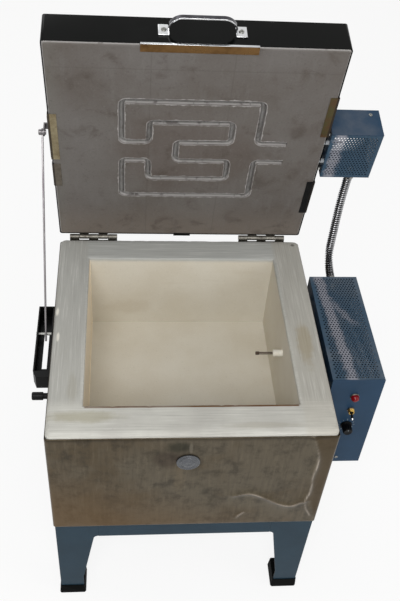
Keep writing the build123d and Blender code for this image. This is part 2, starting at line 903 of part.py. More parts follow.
def conduit():
    """The flexible conduit: straight runs joined by arcs as large as the runs allow."""
    points = [Vector(*point) for point in conduit_route()]
    radii = []
    for before, here, after in zip(points, points[1:], points[2:]):
        first = here - before
        second = after - here
        turn = radians(first.get_angle(second))
        shorter = min(first.length, second.length)
        radii.append(0.45 * shorter / tan(turn / 2))
    line = FilletPolyline(*points, radius=radii)
    section = Plane(line @ 0, z_dir=line % 0) * RegularPolygon(conduit_radius, conduit_sides)
    tube = sweep(section, path=line)
    print("conduit length", round(line.length, 1), "radii", [round(radius, 1) for radius in radii])
    print("conduit volume over section times length", round(tube.volume / (section.area * line.length), 4))
    return tube


def pilot_lamp():
    """The bezel and the red lens of the pilot lamp."""
    start = (panel_x, control_front, rim_height - lamp_down)
    bezel = rod(start, (0, -1, 0), lamp_bezel_radius, lamp_bezel_thick)
    bezel -= rod(start, (0, -1, 0), lamp_lens_radius + lamp_fit, lamp_bezel_thick)
    dome = [(lamp_lens_rise * sin(radians(a)), lamp_lens_radius * cos(radians(a))) for a in (0, 40, 70)]
    outline = [(-4, lamp_lens_radius)] + [(lamp_bezel_thick + rise, radius) for rise, radius in dome]
    lens = turned(outline, start, (0, -1, 0))
    return bezel, lens


def toggle_bushing():
    """The threaded bushing and brass nut of the power switch, with the switch body behind the plate."""
    z = rim_height - switch_down
    start = (panel_x, control_front, z)
    inside = (panel_x, control_front + box_sheet, z)
    bush = rod(inside, (0, -1, 0), switch_bush_radius, box_sheet + switch_bush_out)
    bush += prism(switch_nut_flats, start, (0, -1, 0), switch_nut_thick)
    body = block(
        panel_x - 8, panel_x + 8, control_front + box_sheet, control_front + box_sheet + 24, z - 15, z + 15
    )
    bush += body
    bush -= rod((panel_x, control_front + 4, z), (0, -1, 0), switch_bore, switch_bush_out + 6)
    return bush


def toggle_lever():
    """The bat-shaped lever of the power switch, resting down, on the small barrel that it tilts on."""
    pivot = switch_pivot()
    outline = [(0, lever_root), (lever_length * 0.35, lever_root), (lever_length * 0.75, lever_tip),
               (lever_length * 0.92, lever_tip), (lever_length, lever_tip * 0.5)]
    direction = (0, -cos(radians(lever_tilt)), -sin(radians(lever_tilt)))
    barrel_start = (pivot[0] - lever_barrel_length / 2, pivot[1], pivot[2])
    barrel = bearing(barrel_start, (1, 0, 0), lever_barrel, lever_barrel_length)
    return turned(outline, pivot, direction) + barrel


def switch_pivot():
    """The point that the lever tilts about, inside the bushing."""
    return (panel_x, control_front - switch_bush_out + 4.5, rim_height - switch_down)


def control_knob():
    """The skirted knob of the heat control, with its shaft back into the regulator."""
    z = rim_height - knob_down
    front = control_front - knob_clear
    outline = [
        (0, knob_skirt), (knob_skirt_thick, knob_skirt), (knob_skirt_thick + 1.2, knob_radius),
        (knob_length - 1.2, knob_radius * 0.94), (knob_length, knob_radius * 0.8)
    ]
    knob = turned(outline, (panel_x, front, z), (0, -1, 0), 24)
    return knob + bearing((panel_x, front, z), (0, 1, 0), shaft_radius, knob_clear + box_sheet + 10)


def energy_regulator():
    """The heat regulator behind the knob, with the bore that its shaft turns in."""
    z = rim_height - knob_down
    front = control_front + box_sheet
    half = regulator_size / 2
    case = block(panel_x - half, panel_x + half, front, front + regulator_thick, z - half, z + half)
    case = chamfer(case.edges().filter_by(Axis.Y), 3)
    return case - bearing((panel_x, front - 1, z), (0, 1, 0), shaft_radius + shaft_fit, 13)


def power_relay():
    """The relay on the back plate of the control box."""
    middle_z = rim_height - relay_down
    x0 = control_x + box_sheet
    relay = block(
        x0, x0 + relay_width, control_y + 16, control_y + 16 + relay_depth,
        middle_z - relay_height / 2, middle_z + relay_height / 2
    )
    return chamfer(relay.edges().filter_by(Axis.X), 3)


def mains_gland():
    """The inlet gland low on the rear plate, where a supply lead would enter."""
    start = (panel_x, control_rear, rim_height - gland_down)
    nut = prism(2 * gland_radius, start, (0, 1, 0), gland_nut_thick)
    cap = turned([(gland_nut_thick, gland_radius * 0.86), (gland_out, gland_radius * 0.7)], start, (0, 1, 0))
    socket = rod((panel_x, control_rear + gland_out, start[2]), (0, -1, 0), gland_bore, gland_out / 2)
    return nut + cap - socket


def stay_angle():
    """The stay's direction at rest, in degrees from +Y towards +Z, and its length down to the pin.

    The back edge of the stay, with its notch, stands just in front of the guide's cross pin.
    """
    pivot_y, pivot_z = stay_pivot()
    pin_y, pin_z = guide_pin()
    span = hypot(pin_y - pivot_y, pin_z - pivot_z)
    aside = stay_width / 2 + guide_pin_radius + guide_pin_clear
    straight = degrees(atan2(pin_z - pivot_z, pin_y - pivot_y))
    swing = degrees(asin(aside / span))
    return straight - swing, span * cos(radians(swing))


def stay_pivot():
    """The stay's pivot on the open lid."""
    return lid_turned(lid_back - stay_pivot_from_back, lid_under + stay_pivot_up)


def guide_pin():
    """The cross pin of the guide."""
    return (guide_pin_y, rim_height - guide_pin_down)


def stay_arm():
    """The flat stay: a bar with an eye on the lid's pivot pin and a hook notch beside the cross pin."""
    angle, reach = stay_angle()
    pivot_y, pivot_z = stay_pivot()
    half = stay_width / 2
    length = reach + stay_tip
    outline = Polyline(
        (0, half), (length - half * 0.6, half), (length, 0.4 * half), (length, -0.2 * half),
        (length - half, -half), (0, -half)
    )
    bar = make_face(outline + ThreePointArc((0, -half), (-half, 0), (0, half)))
    bar += Circle(half + stay_eye_rim)
    bar -= Circle(stay_pin_radius + stay_pin_fit)
    notch = guide_pin_radius + guide_pin_clear
    bar -= Pos(reach, stay_hook_depth - half - notch) * Circle(notch)
    bar -= Pos(reach, -half) * Rectangle(2 * notch, 2 * (stay_hook_depth - notch))
    down = (0, cos(radians(angle)), sin(radians(angle)))
    plate = Plane((stay_x, pivot_y, pivot_z), x_dir=down, z_dir=(-1, 0, 0))
    return extrude(plate * bar, stay_thick)


def stay_bracket():
    """The bracket on the lid's left edge: a strap on the band with a stepped-out ear for the stay."""
    y = lid_back - stay_pivot_from_back
    low = lid_under + band_lift + clip_rise + clip_fit
    high = low + stay_bracket_height
    out = stay_gap - stay_side_fit
    ear_x = -lid_half_width - out
    bracket = block(
        -lid_half_width - stay_bracket_sheet, -lid_half_width,
        y - stay_bracket_front, y - stay_bracket_front + stay_bracket_length, low, high
    )
    half = stay_ear_width / 2
    bracket += block(ear_x, -lid_half_width, y - half, y + half, high - stay_bracket_sheet, high)
    pivot = lid_under + stay_pivot_up
    bracket += block(ear_x, ear_x + stay_bracket_sheet, y - half, y + half, pivot, high)
    bracket += rod((ear_x, y, pivot), (1, 0, 0), half, stay_bracket_sheet)
    bore = stay_pin_radius + pin_fit
    return bracket - bearing((ear_x - 1, y, pivot), (1, 0, 0), bore, stay_bracket_sheet + 2)


def stay_pivot_pin():
    """The pin through the ear of the bracket and the eye of the stay, headed at both ends."""
    y = lid_back - stay_pivot_from_back
    z = lid_under + stay_pivot_up
    inner = -lid_half_width - stay_gap + stay_side_fit + stay_bracket_sheet
    outer = -lid_half_width - stay_gap - stay_thick - stay_side_fit
    pin = bearing((inner, y, z), (-1, 0, 0), stay_pin_radius, inner - outer)
    pin += rod((inner, y, z), (1, 0, 0), stay_pin_radius + 1.8, 2.2)
    head = stay_pin_radius + 2.4
    return pin + turned([(0, head), (4.2, head), (5.2, head - 1)], (outer, y, z), (-1, 0, 0))


def guide_channel():
    """The channel on the left side that the stay runs down through: open above, slotted below."""
    x_in = -half_width
    x_out = -half_width - guide_width
    y0 = guide_middle - guide_length / 2
    y1 = guide_middle + guide_length / 2
    outline = Polyline(
        (x_in, y0), (x_out + 6, y0), (x_out, y0 + guide_taper), (x_out, y1), (x_in, y1), close=True
    )
    inner = Polyline(
        (x_in - guide_sheet, y0 + guide_taper), (x_out + guide_sheet, y0 + guide_taper),
        (x_out + guide_sheet, y1 - guide_sheet), (x_in - guide_sheet, y1 - guide_sheet), close=True
    )
    channel = Pos(0, 0, guide_bottom) * extrude(make_face(outline), guide_height)
    channel -= Pos(0, 0, guide_bottom + guide_sheet) * extrude(make_face(inner), guide_height)
    slot_x = stay_x - stay_thick / 2
    channel -= block(
        slot_x - guide_slot_width / 2, slot_x + guide_slot_width / 2,
        guide_slot_middle - guide_slot_length / 2, guide_slot_middle + guide_slot_length / 2,
        guide_bottom - 1, guide_bottom + guide_sheet + 1
    )
    return channel


def guide_cross_pin():
    """The steel pin across the channel, which the notch of the stay hooks on, and its head outside."""
    pin_y, pin_z = guide_pin()
    inner = -half_width - guide_sheet
    pin = rod((inner, pin_y, pin_z), (-1, 0, 0), guide_pin_radius, guide_width - 2 * guide_sheet)
    head = rod((-half_width - guide_width, pin_y, pin_z), (-1, 0, 0), guide_pin_radius + 1.6, 2.2)
    return [pin, head]


def side_peg():
    """The black peg in front of the guide: a round grip on a thinner neck."""
    start = (-half_width, peg_y, rim_height - peg_down)
    outline = [
        (0, peg_neck_radius), (peg_neck, peg_neck_radius), (peg_neck, peg_radius),
        (peg_out - 1.2, peg_radius), (peg_out, peg_radius - 1.2)
    ]
    return turned(outline, start, (-1, 0, 0))


def thermocouple():
    """The ceramic sheath through the right wall, and the two wires that twist to a bead in the chamber."""
    z = rim_height - thermocouple_down
    end = chamber_half_width - thermocouple_reach
    start = control_x + box_sheet + 16
    sheath = rod((end, thermocouple_y, z), (1, 0, 0), thermocouple_radius, start - end)
    tip = end - thermocouple_tip
    wires = rod((tip, thermocouple_y, z), (1, 0, 0), thermocouple_bead, 2 * thermocouple_bead, 8)
    for side in (-1, 1):
        mouth = (tip, thermocouple_y + side * thermocouple_spread, z)
        wires += rod(mouth, (1, 0, 0), thermocouple_wire, thermocouple_tip, 8)
    return sheath, wires


def peephole_plug():
    """The plug: a stem in the tube, a stepped disc in front and a small button in its middle."""
    start = (peephole_x, -half_depth - 0.3, rim_height - peephole_down)
    outline = [
        (-plug_stem_length, plug_stem_end), (0, plug_stem), (0, plug_disc),
        (plug_disc_thick * 0.5, plug_disc), (plug_disc_thick * 0.5, plug_disc * 0.72),
        (plug_disc_thick, plug_disc * 0.66)
    ]
    return turned(outline, start, (0, -1, 0), peephole_sides)


def rail_bolts():
    """The hexagon-headed bolts that hold each leg to the rails of its corner."""
    bolts = []
    z = pan_bottom - rail_bolt_inset
    for side_x in (-1, 1):
        for side_y in (-1, 1):
            x = side_x * (stand_half_width - leg_top_width * 0.6)
            y = side_y * (stand_half_depth - leg_top_width * 0.6)
            on_front = (x, side_y * (stand_half_depth - stand_sheet), z)
            on_side = (side_x * (stand_half_width - stand_sheet), y, z)
            bolts.append(prism(rail_bolt_head, on_front, (0, -side_y, 0), rail_bolt_thick))
            bolts.append(prism(rail_bolt_head, on_side, (-side_x, 0, 0), rail_bolt_thick))
    return bolts


lamp_bezel, lamp_lens = pilot_lamp()
thermocouple_sheath, thermocouple_wires = thermocouple()
connector_top = conduit_connector(
    (conduit_top_x, terminal_rear, lid_under + conduit_top_t), (0, 1, 0)
)

nodes = {
    "case_wrap": [case_wrap()],
    "bottom_pan": [bottom_pan()],
    "base_board": [slab(pan_bottom + pan_sheet, board_top)],
    "floor_brick": [slab(board_top, chamber_floor)],
    "front_wall_brick": [cross_wall(-1)],
    "back_wall_brick": [cross_wall(1)],
    "left_wall_brick": [side_wall(-1)],
    "right_wall_brick": [side_wall(1)],
    "stand_leg_front_left": [stand_leg(-1, -1)],
    "stand_leg_front_right": [stand_leg(1, -1)],
    "stand_leg_rear_left": [stand_leg(-1, 1)],
    "stand_leg_rear_right": [stand_leg(1, 1)],
    "stand_rail_front": [stand_rail(-1, True)],
    "stand_rail_rear": [stand_rail(1, True)],
    "stand_rail_left": [stand_rail(-1, False)],
    "stand_rail_right": [stand_rail(1, False)],
    "rubber_boots": rubber_boots(),
    "rail_bolts": rail_bolts(),
    "hinge_body_leaves": [hinge_leaf_plate(middle, False) for middle in hinge_places],
    "hinge_pins": [hinge_pin(middle) for middle in hinge_places],
    "body_screws": hinge_screws(False) + control_screws(),
    "guide_channel": [guide_channel()],
    "guide_cross_pin": guide_cross_pin(),
    "side_peg": [side_peg()],
    "thermocouple_sheath": [thermocouple_sheath],
    "thermocouple_wires": [thermocouple_wires],
    "control_box_base": [control_base()],
    "control_box_cover": [control_place() * box_cover(control_width, control_depth, control_height)],
    "control_box_standoffs": control_standoffs(),
    "pilot_lamp_bezel": [lamp_bezel],
    "pilot_lamp_lens": [lamp_lens],
    "power_switch_body": [toggle_bushing()],
    "heat_regulator": [energy_regulator()],
    "power_relay": [power_relay()],
    "mains_gland": [mains_gland()],
    "conduit_connector_low": [
        conduit_connector((conduit_low_x, control_rear, rim_height - conduit_low_down), (0, 1, 0))
    ],
    "lid_brick": [opened(lid_brick())],
    "lid_band": [opened(lid_band())],
    "lid_top_sheet": [opened(lid_top_sheet())],
    "heating_element": [opened(heating_element())],
    "element_staples": [opened(staple) for staple in element_staples()],
    "front_clip": [opened(lid_clip(clip_front, clip_front_reach, clip_front_x, "front"))],
    "edge_clips": [opened(clip) for clip in brick_clips()],
    "lid_handle": [opened(handle())],
    "hinge_lid_leaves": [opened(hinge_leaf_plate(middle, True)) for middle in hinge_places],
    "lid_screws": [opened(screw) for screw in hinge_screws(True) + handle_screws() + terminal_screws()],
    "stay_bracket": [opened(stay_bracket())],
    "stay_pivot_pin": [opened(stay_pivot_pin())],
    "terminal_box_base": [opened(terminal_base())],
    "terminal_box_cover": [opened(terminal_place() * box_cover(terminal_width, terminal_depth, lid_thick))],
    "terminal_box_standoffs": [opened(post) for post in terminal_standoffs()],
    "element_bushings": [opened(tube) for tube in terminal_bushings()],
    "conduit_connector_top": [opened(connector_top)],
    "conduit": [conduit()],
    "stay_arm": [stay_arm()],
    "power_switch_lever": [toggle_lever()],
    "heat_knob": [control_knob()],
    "peephole_plug": [peephole_plug()]
}

# The finished frame has its origin under the middle of the whole kiln's bounding box, on the floor.
everything = Compound([solid for pieces in nodes.values() for piece in pieces for solid in piece.solids()])
bounds = everything.bounding_box()
shift = Pos(-(bounds.min.X + bounds.max.X) / 2, -(bounds.min.Y + bounds.max.Y) / 2, 0)
print("shift to the frame", round(shift.position.X, 3), round(shift.position.Y, 3))

os.makedirs("parts", exist_ok=True)
for name, pieces in nodes.items():
    solids = [solid for piece in pieces for solid in (shift * piece).solids()]
    export_step(solids[0] if len(solids) == 1 else Compound(solids), f"parts/{name}.step")
print(len(nodes), "nodes")
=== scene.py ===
# %% [markdown]
# # A glass kiln
#
# This lesson dresses a square, top-opening glass kiln. The measured solids come in as a fixed frame, and
# every cell below adds one thing that the real kiln shows: a perforated cover, a dented skin, a coil.
# Lengths are in metres. The kiln stands on z = 0, its peephole looks along -Y, and its controls are at +X.

import json
from math import atan2, cos, exp, hypot, pi, radians, sin, tau

import bmesh
import bpy
from mathutils import Matrix, Vector, noise

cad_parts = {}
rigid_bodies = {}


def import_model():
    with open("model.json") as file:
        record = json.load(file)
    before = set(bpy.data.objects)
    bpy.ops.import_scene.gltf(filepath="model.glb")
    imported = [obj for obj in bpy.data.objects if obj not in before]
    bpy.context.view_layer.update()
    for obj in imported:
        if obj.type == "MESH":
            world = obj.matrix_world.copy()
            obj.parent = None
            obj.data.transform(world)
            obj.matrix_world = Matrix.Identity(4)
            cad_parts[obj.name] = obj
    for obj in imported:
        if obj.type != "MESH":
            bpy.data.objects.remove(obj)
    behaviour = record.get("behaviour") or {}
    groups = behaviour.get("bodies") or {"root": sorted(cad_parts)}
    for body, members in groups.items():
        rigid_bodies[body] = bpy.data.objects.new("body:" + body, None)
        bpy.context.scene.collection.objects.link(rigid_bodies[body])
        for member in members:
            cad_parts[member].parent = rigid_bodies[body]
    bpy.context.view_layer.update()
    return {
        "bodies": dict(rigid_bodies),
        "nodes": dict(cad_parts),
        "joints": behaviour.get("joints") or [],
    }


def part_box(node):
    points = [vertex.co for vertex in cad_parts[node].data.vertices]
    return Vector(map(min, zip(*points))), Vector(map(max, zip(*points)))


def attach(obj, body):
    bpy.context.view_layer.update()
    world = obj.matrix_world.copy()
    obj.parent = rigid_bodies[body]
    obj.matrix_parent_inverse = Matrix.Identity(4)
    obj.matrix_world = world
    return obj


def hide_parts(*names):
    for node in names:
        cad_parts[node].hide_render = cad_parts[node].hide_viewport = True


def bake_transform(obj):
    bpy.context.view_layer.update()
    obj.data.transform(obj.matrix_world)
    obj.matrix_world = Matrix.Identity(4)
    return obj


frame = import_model()
MM = 0.001
print("bodies:", ", ".join(frame["bodies"]))

# %% [markdown]
# ## Two ways to name a place
#
# The case stays still and the lid leans back, so a place on the lid is awkward to write in plain X, Y, Z.
# Two small functions help. `at` counts in millimetres from the middle of the case, with the brick rim as
# zero height. `on_lid` counts on the lid as it would lie closed, with its distance from the back edge and
# its height above the underside, and swings that place up about the hinge.

# %% Places on the case and on the lid
floor_low, floor_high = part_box("floor_brick")
middle = (floor_low + floor_high) / 2
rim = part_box("front_wall_brick")[1].z
joints = {joint["name"]: joint for joint in frame["joints"]}
hinge = Vector(joints["lid_hinge"]["pos_m"])
lid_angle = radians(joints["lid_hinge"]["range_deg"][1])
half_case = 254 * MM
lid_gap = 1.5 * MM
lid_thick = 65 * MM


def at(x, y, z):
    """A place on the case: millimetres from its middle, and from the rim in height."""
    return Vector((middle.x + x * MM, middle.y + y * MM, rim + z * MM))


def lid_turn(point):
    """Swings a point of the closed lid up to the open one."""
    return Matrix.Rotation(-lid_angle, 3, "X") @ (point - hinge) + hinge


def on_lid(x, from_back, up):
    """A place on the lid: across, from the back edge forwards, and up from the underside."""
    return lid_turn(at(x, 254 - from_back, 0) + Vector((0, 0, lid_gap + up * MM)))


def lid_way(x, forward, up):
    """A direction on the lid, as a unit vector."""
    return (Matrix.Rotation(-lid_angle, 3, "X") @ Vector((x, -forward, up))).normalized()


print("case middle", [round(c, 4) for c in middle], "rim at", round(rim, 4))

# %% [markdown]
# ## The camera
#
# The photograph was taken from above the left front corner, looking down into the chamber. The camera's
# place was worked out from the corners of the case and the lid, with the bricks' thickness as the ruler.
# A matrix of three directions sets it exactly: right, up and backwards.

# %% The photographer's view
PHOTO = (400, 601)
focal_pixels = 828.924
yaw, pitch, roll = 0.1282, 0.7769, -0.0919
ahead = Vector((sin(yaw) * cos(pitch), cos(yaw) * cos(pitch), -sin(pitch)))
level = Vector((cos(yaw), -sin(yaw), 0))
down = ahead.cross(level)
right = cos(roll) * level + sin(roll) * down
below = -sin(roll) * level + cos(roll) * down
camera_data = bpy.data.cameras.new("photograph")
camera_data.lens = focal_pixels * camera_data.sensor_width / max(PHOTO)
camera_data.clip_start, camera_data.clip_end = 0.05, 30
camera = bpy.data.objects.new("photograph", camera_data)
turn = Matrix((right, -below, -ahead)).transposed().to_4x4()
camera.matrix_world = Matrix.Translation(at(-119.8, -1086.5, 1144.6)) @ turn
bpy.context.scene.collection.objects.link(camera)
bpy.context.scene.camera = camera
print("lens", round(camera_data.lens, 2), "mm")

# %% [markdown]
# ## The flexible conduit's line
#
# A steel conduit carries the wires up to the lid. It is held at both ends and arches behind the kiln, so
# its line is one smooth spline through the same few points that the solid model uses. The ribs come
# later: here the line is only drawn and measured.

# %% The line of the conduit
CONDUIT = 16 * MM
upper_mouth = on_lid(326, 193, 22)
lid_back_way = lid_way(0, -1, 0)
conduit_points = [
    at(318, 162, -41), at(318, 198, -41), at(319, 233, -17), at(320.5, 237, 46), at(323, 245.5, 104),
    upper_mouth + lid_back_way * 34 * MM, upper_mouth + lid_back_way * 8 * MM,
]
line_data = bpy.data.curves.new("conduit_line", "CURVE")
line_data.dimensions = "3D"
spline = line_data.splines.new("NURBS")
spline.points.add(len(conduit_points) - 1)
for control, point in zip(spline.points, conduit_points):
    control.co = (*point, 1)
spline.order_u = 3
spline.use_endpoint_u = True
spline.resolution_u = 24
conduit_line = bpy.data.objects.new("conduit_line", line_data)
bpy.context.scene.collection.objects.link(conduit_line)
bpy.context.view_layer.update()
traced = bpy.data.meshes.new_from_object(conduit_line)
conduit_path = [vertex.co.copy() for vertex in traced.vertices]
conduit_length = sum((b - a).length for a, b in zip(conduit_path, conduit_path[1:]))
bpy.data.objects.remove(conduit_line)
print("conduit", round(conduit_length * 1000, 1), "mm long,", len(conduit_path), "points read")

# %% [markdown]
# ## Arithmetic on sockets
#
# A material is a graph of nodes, which is slow to write and hard to read. The class `Wire` wraps one
# socket and overloads the operators, so `1 - mask * 0.3` adds the Math nodes by itself. `Finish` is one
# material: its method `node` makes any other node from its type, its settings and its inputs.

# %% Wires and finishes
class Wire:
    """A socket that can be used in sums."""

    def __init__(self, finish, socket):
        self.finish, self.socket = finish, socket

    def math(self, operation, *values):
        return self.finish.node("ShaderNodeMath", {"operation": operation}, dict(enumerate(values)))

    def __add__(self, other):
        return self.math("ADD", self, other)

    def __radd__(self, other):
        return self.math("ADD", other, self)

    def __sub__(self, other):
        return self.math("SUBTRACT", self, other)

    def __rsub__(self, other):
        return self.math("SUBTRACT", other, self)

    def __mul__(self, other):
        return self.math("MULTIPLY", self, other)

    def __rmul__(self, other):
        return self.math("MULTIPLY", other, self)

    def __truediv__(self, other):
        return self.math("DIVIDE", self, other)

    def __pow__(self, other):
        return self.math("POWER", self, other)

    def __neg__(self):
        return self.math("MULTIPLY", self, -1)

    def __abs__(self):
        return self.math("ABSOLUTE", self)

    def between(self, low, high):
        """0 below low, 1 above high, and a soft step in between."""
        settings = {"interpolation_type": "SMOOTHSTEP"}
        return self.finish.node(
            "ShaderNodeMapRange", settings, {"Value": self, "From Min": low, "From Max": high})

    def most(self, other):
        return self.math("MAXIMUM", self, other)

    def least(self, other):
        return self.math("MINIMUM", self, other)


class Finish:
    """One material, built around a Principled shader."""

    def __init__(self, name, **values):
        self.material = bpy.data.materials.new(name)
        self.material.use_nodes = True
        self.tree = self.material.node_tree
        self.shader = self.tree.nodes["Principled BSDF"]
        self.set(**values)

    def node(self, kind, settings=None, inputs=None, out=0):
        """Adds a node and returns one of its outputs."""
        made = self.tree.nodes.new(kind)
        for key, value in (settings or {}).items():
            if key == "stops":
                ramp = made.color_ramp
                while len(ramp.elements) < len(value):
                    ramp.elements.new(0.5)
                for element, (position, colour) in zip(ramp.elements, value):
                    element.position, element.color = position, (*colour, 1)
            else:
                setattr(made, key, value)
        for key, value in (inputs or {}).items():
            self.put(made.inputs[key], value)
        return Wire(self, made.outputs[out])

    def put(self, socket, value):
        """Links a wire to a socket, or sets the socket's own value."""
        if isinstance(value, Wire):
            self.tree.links.new(value.socket, socket)
        elif hasattr(value, "__len__") and len(value) == 3 and len(socket.default_value) == 4:
            socket.default_value = (*value, 1)
        else:
            socket.default_value = value

    def set(self, **values):
        """Sets the shader's sockets by name, with _ for a space."""
        for name, value in values.items():
            wanted = name.replace("_", " ").lower()
            socket = next(s for s in self.shader.inputs if s.name.lower() == wanted)
            self.put(socket, value)

    def place(self):
        """Where a point is on the case, in metres from its middle and rim, as three wires."""
        here = self.node("ShaderNodeTexCoord", out="Object")
        origin = (middle.x, middle.y, rim)
        moved = self.node("ShaderNodeVectorMath", {"operation": "SUBTRACT"}, {0: here, 1: origin})
        return self.split(moved)

    def split(self, vector):
        parts = self.node("ShaderNodeSeparateXYZ", {}, {0: vector}).socket.node
        return [Wire(self, parts.outputs[axis]) for axis in "XYZ"]

    def join(self, x, y, z):
        return self.node("ShaderNodeCombineXYZ", {}, {0: x, 1: y, 2: z})

    def lid_place(self):
        """Where a point is on the lid as it lies closed: across, from the back, and up."""
        x, y, z = self.place()
        y, z = y - (hinge.y - middle.y), z - (hinge.z - rim)
        flat_y = y * cos(lid_angle) - z * sin(lid_angle)
        flat_z = y * sin(lid_angle) + z * cos(lid_angle)
        return [x, (half_case - (hinge.y - middle.y)) - flat_y, flat_z - lid_gap]

    def noise(self, scale, x=None, y=None, z=None, detail=4, roughness=0.55, distortion=0.0):
        """Fractal noise; with x, y and z it is stretched along an axis by a smaller factor there."""
        vector = self.node("ShaderNodeTexCoord", out="Object") if x is None else self.join(x, y, z)
        inputs = {"Vector": vector, "Scale": scale, "Detail": detail, "Roughness": roughness,
                  "Distortion": distortion}
        return self.node("ShaderNodeTexNoise", {}, inputs)

    def mix(self, factor, a, b):
        """A colour between a and b."""
        settings = {"data_type": "RGBA"}
        return self.node("ShaderNodeMix", settings, {0: factor, 6: a, 7: b}, out=2)

    def read(self, name):
        """A number that the mesh holds for each of its points."""
        return self.node("ShaderNodeAttribute", {"attribute_name": name}, out="Fac")

    def lay(self, mask, colour):
        """Lays one more colour over what the finish already has."""
        under = self.shader.inputs["Base Color"].links[0].from_socket
        self.set(Base_Color=self.mix(mask, Wire(self, under), colour))

    def spot(self, u, v, middle_uv, half_uv, ragged):
        """A soft spot with a ragged edge; the middle and the half sizes are in millimetres."""
        across = (u - middle_uv[0] * MM) / (half_uv[0] * MM)
        along = (v - middle_uv[1] * MM) / (half_uv[1] * MM)
        return 1 - ((across * across + along * along) ** 0.5 + ragged).between(0.45, 1.15)

    def bump(self, height, depth, strength=1.0):
        """A bump from a height wire, where a height of 1 stands depth metres proud."""
        return self.node("ShaderNodeBump", {}, {"Height": height, "Distance": depth, "Strength": strength})


def rgb(red, green, blue):
    """A colour as it is seen on a screen, 0 to 255, in the linear values that shaders use."""
    return tuple(((c / 255 + 0.055) / 1.055) ** 2.4 if c > 10 else c / 255 / 12.92 for c in (red, green, blue))


# %% [markdown]
# ## Meshes from code
#
# Most pieces are one of three kinds: a mesh given by its points and faces, a turned piece whose outline
# goes round an axis, or a tube along a path. `piece` makes the object, gives it its finish and, when it is
# given a body, lets it ride on that body.

# %% Makers
def piece(name, points, faces, finish, body, slot=None, stands_for=(), smooth=35):
    """A mesh object that rides on a body."""
    data = bpy.data.meshes.new(name)
    data.from_pydata([tuple(point) for point in points], [], faces)
    data.validate()
    shaped = bmesh.new()
    shaped.from_mesh(data)
    bmesh.ops.recalc_face_normals(shaped, faces=shaped.faces)
    shaped.to_mesh(data)
    shaped.free()
    made = bpy.data.objects.new(name, data)
    bpy.context.scene.collection.objects.link(made)
    return dress(made, finish, body, slot, stands_for, smooth)


def dress(made, finish, body, slot=None, stands_for=(), smooth=35):
    """Gives an object its finish, its shading and its body; its slot is not used."""
    made.data.materials.clear()
    made.data.materials.append(finish.material)
    made.data.polygons.foreach_set("use_smooth", [True] * len(made.data.polygons))
    made.data.set_sharp_from_angle(angle=radians(smooth))
    if body:
        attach(made, body)
    if stands_for:
        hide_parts(*stands_for)
    return made


def frame_of(axis):
    """Two directions square to an axis."""
    axis = Vector(axis).normalized()
    side = axis.cross(Vector((0, 0, 1)) if abs(axis.z) < 0.9 else Vector((1, 0, 0))).normalized()
    return axis, side, axis.cross(side)


def turned(outline, start, axis, sides=48):
    """Points and faces of a turned piece: outline is (millimetres along the axis, radius) pairs."""
    axis, side, other = frame_of(axis)
    points, faces = [], []
    for along, radius in outline:
        centre = Vector(start) + axis * along * MM
        if radius == 0:
            points.append([centre])
            continue
        points.append([
            centre + (side * cos(tau * k / sides) + other * sin(tau * k / sides)) * radius * MM
            for k in range(sides)
        ])
    firsts = [sum(len(ring) for ring in points[:n]) for n in range(len(points))]
    for n in range(len(points) - 1):
        a, b = firsts[n], firsts[n + 1]
        for k in range(sides):
            j = (k + 1) % sides
            if len(points[n]) == 1:
                faces.append((a, b + j, b + k))
            elif len(points[n + 1]) == 1:
                faces.append((a + k, a + j, b))
            else:
                faces.append((a + k, a + j, b + j, b + k))
    flat = [point for ring in points for point in ring]
    if len(points[0]) > 1:
        faces.append(tuple(range(sides)))
    if len(points[-1]) > 1:
        faces.append(tuple(range(firsts[-1], firsts[-1] + sides)))
    return flat, faces


def joined(*parts):
    """Several (points, faces) pairs as one."""
    points, faces = [], []
    for some_points, some_faces in parts:
        start = len(points)
        points += some_points
        faces += [tuple(k + start for k in face) for face in some_faces]
    return points, faces


def tube(path, radius_at, sides=16, first_side=None):
    """A tube along a path; its radius can change along the path and round it."""
    points, faces = [], []
    side = first_side
    for n, here in enumerate(path):
        ahead_way = (path[min(n + 1, len(path) - 1)] - path[max(n - 1, 0)]).normalized()
        if side is None:
            side = frame_of(ahead_way)[1]
        side = (side - ahead_way * side.dot(ahead_way)).normalized()
        other = ahead_way.cross(side)
        for k in range(sides):
            angle = tau * k / sides
            points.append(here + (side * cos(angle) + other * sin(angle)) * radius_at(n, k / sides))
    for n in range(len(path) - 1):
        for k in range(sides):
            j = (k + 1) % sides
            a, b = n * sides, (n + 1) * sides
            faces.append((a + k, a + j, b + j, b + k))
    faces.append(tuple(range(sides)))
    faces.append(tuple(range((len(path) - 1) * sides, len(path) * sides)))
    return points, faces


def spread(path, step):
    """Points on a path at even steps."""
    made, left = [path[0].copy()], step
    for a, b in zip(path, path[1:]):
        length = (b - a).length
        while left <= length:
            made.append(a.lerp(b, left / length))
            left += step
        left -= length
    made.append(path[-1].copy())
    return made


def settle(made):
    """Applies an object's modifiers, so that its mesh is what shows."""
    bpy.context.view_layer.update()
    shown = made.evaluated_get(bpy.context.evaluated_depsgraph_get())
    fresh = bpy.data.meshes.new_from_object(shown)
    made.modifiers.clear()
    made.data = fresh
    return made


def carve(made, points, faces):
    """Cuts a closed shape out of an object."""
    data = bpy.data.meshes.new("cutter")
    data.from_pydata([tuple(point) for point in points], [], faces)
    shaped = bmesh.new()
    shaped.from_mesh(data)
    bmesh.ops.recalc_face_normals(shaped, faces=shaped.faces)
    shaped.to_mesh(data)
    shaped.free()
    cutter = bpy.data.objects.new("cutter", data)
    bpy.context.scene.collection.objects.link(cutter)
    cut = made.modifiers.new("cut", "BOOLEAN")
    cut.operation, cut.object, cut.solver = "DIFFERENCE", cutter, "EXACT"
    settle(made)
    bpy.data.objects.remove(cutter)
    return made


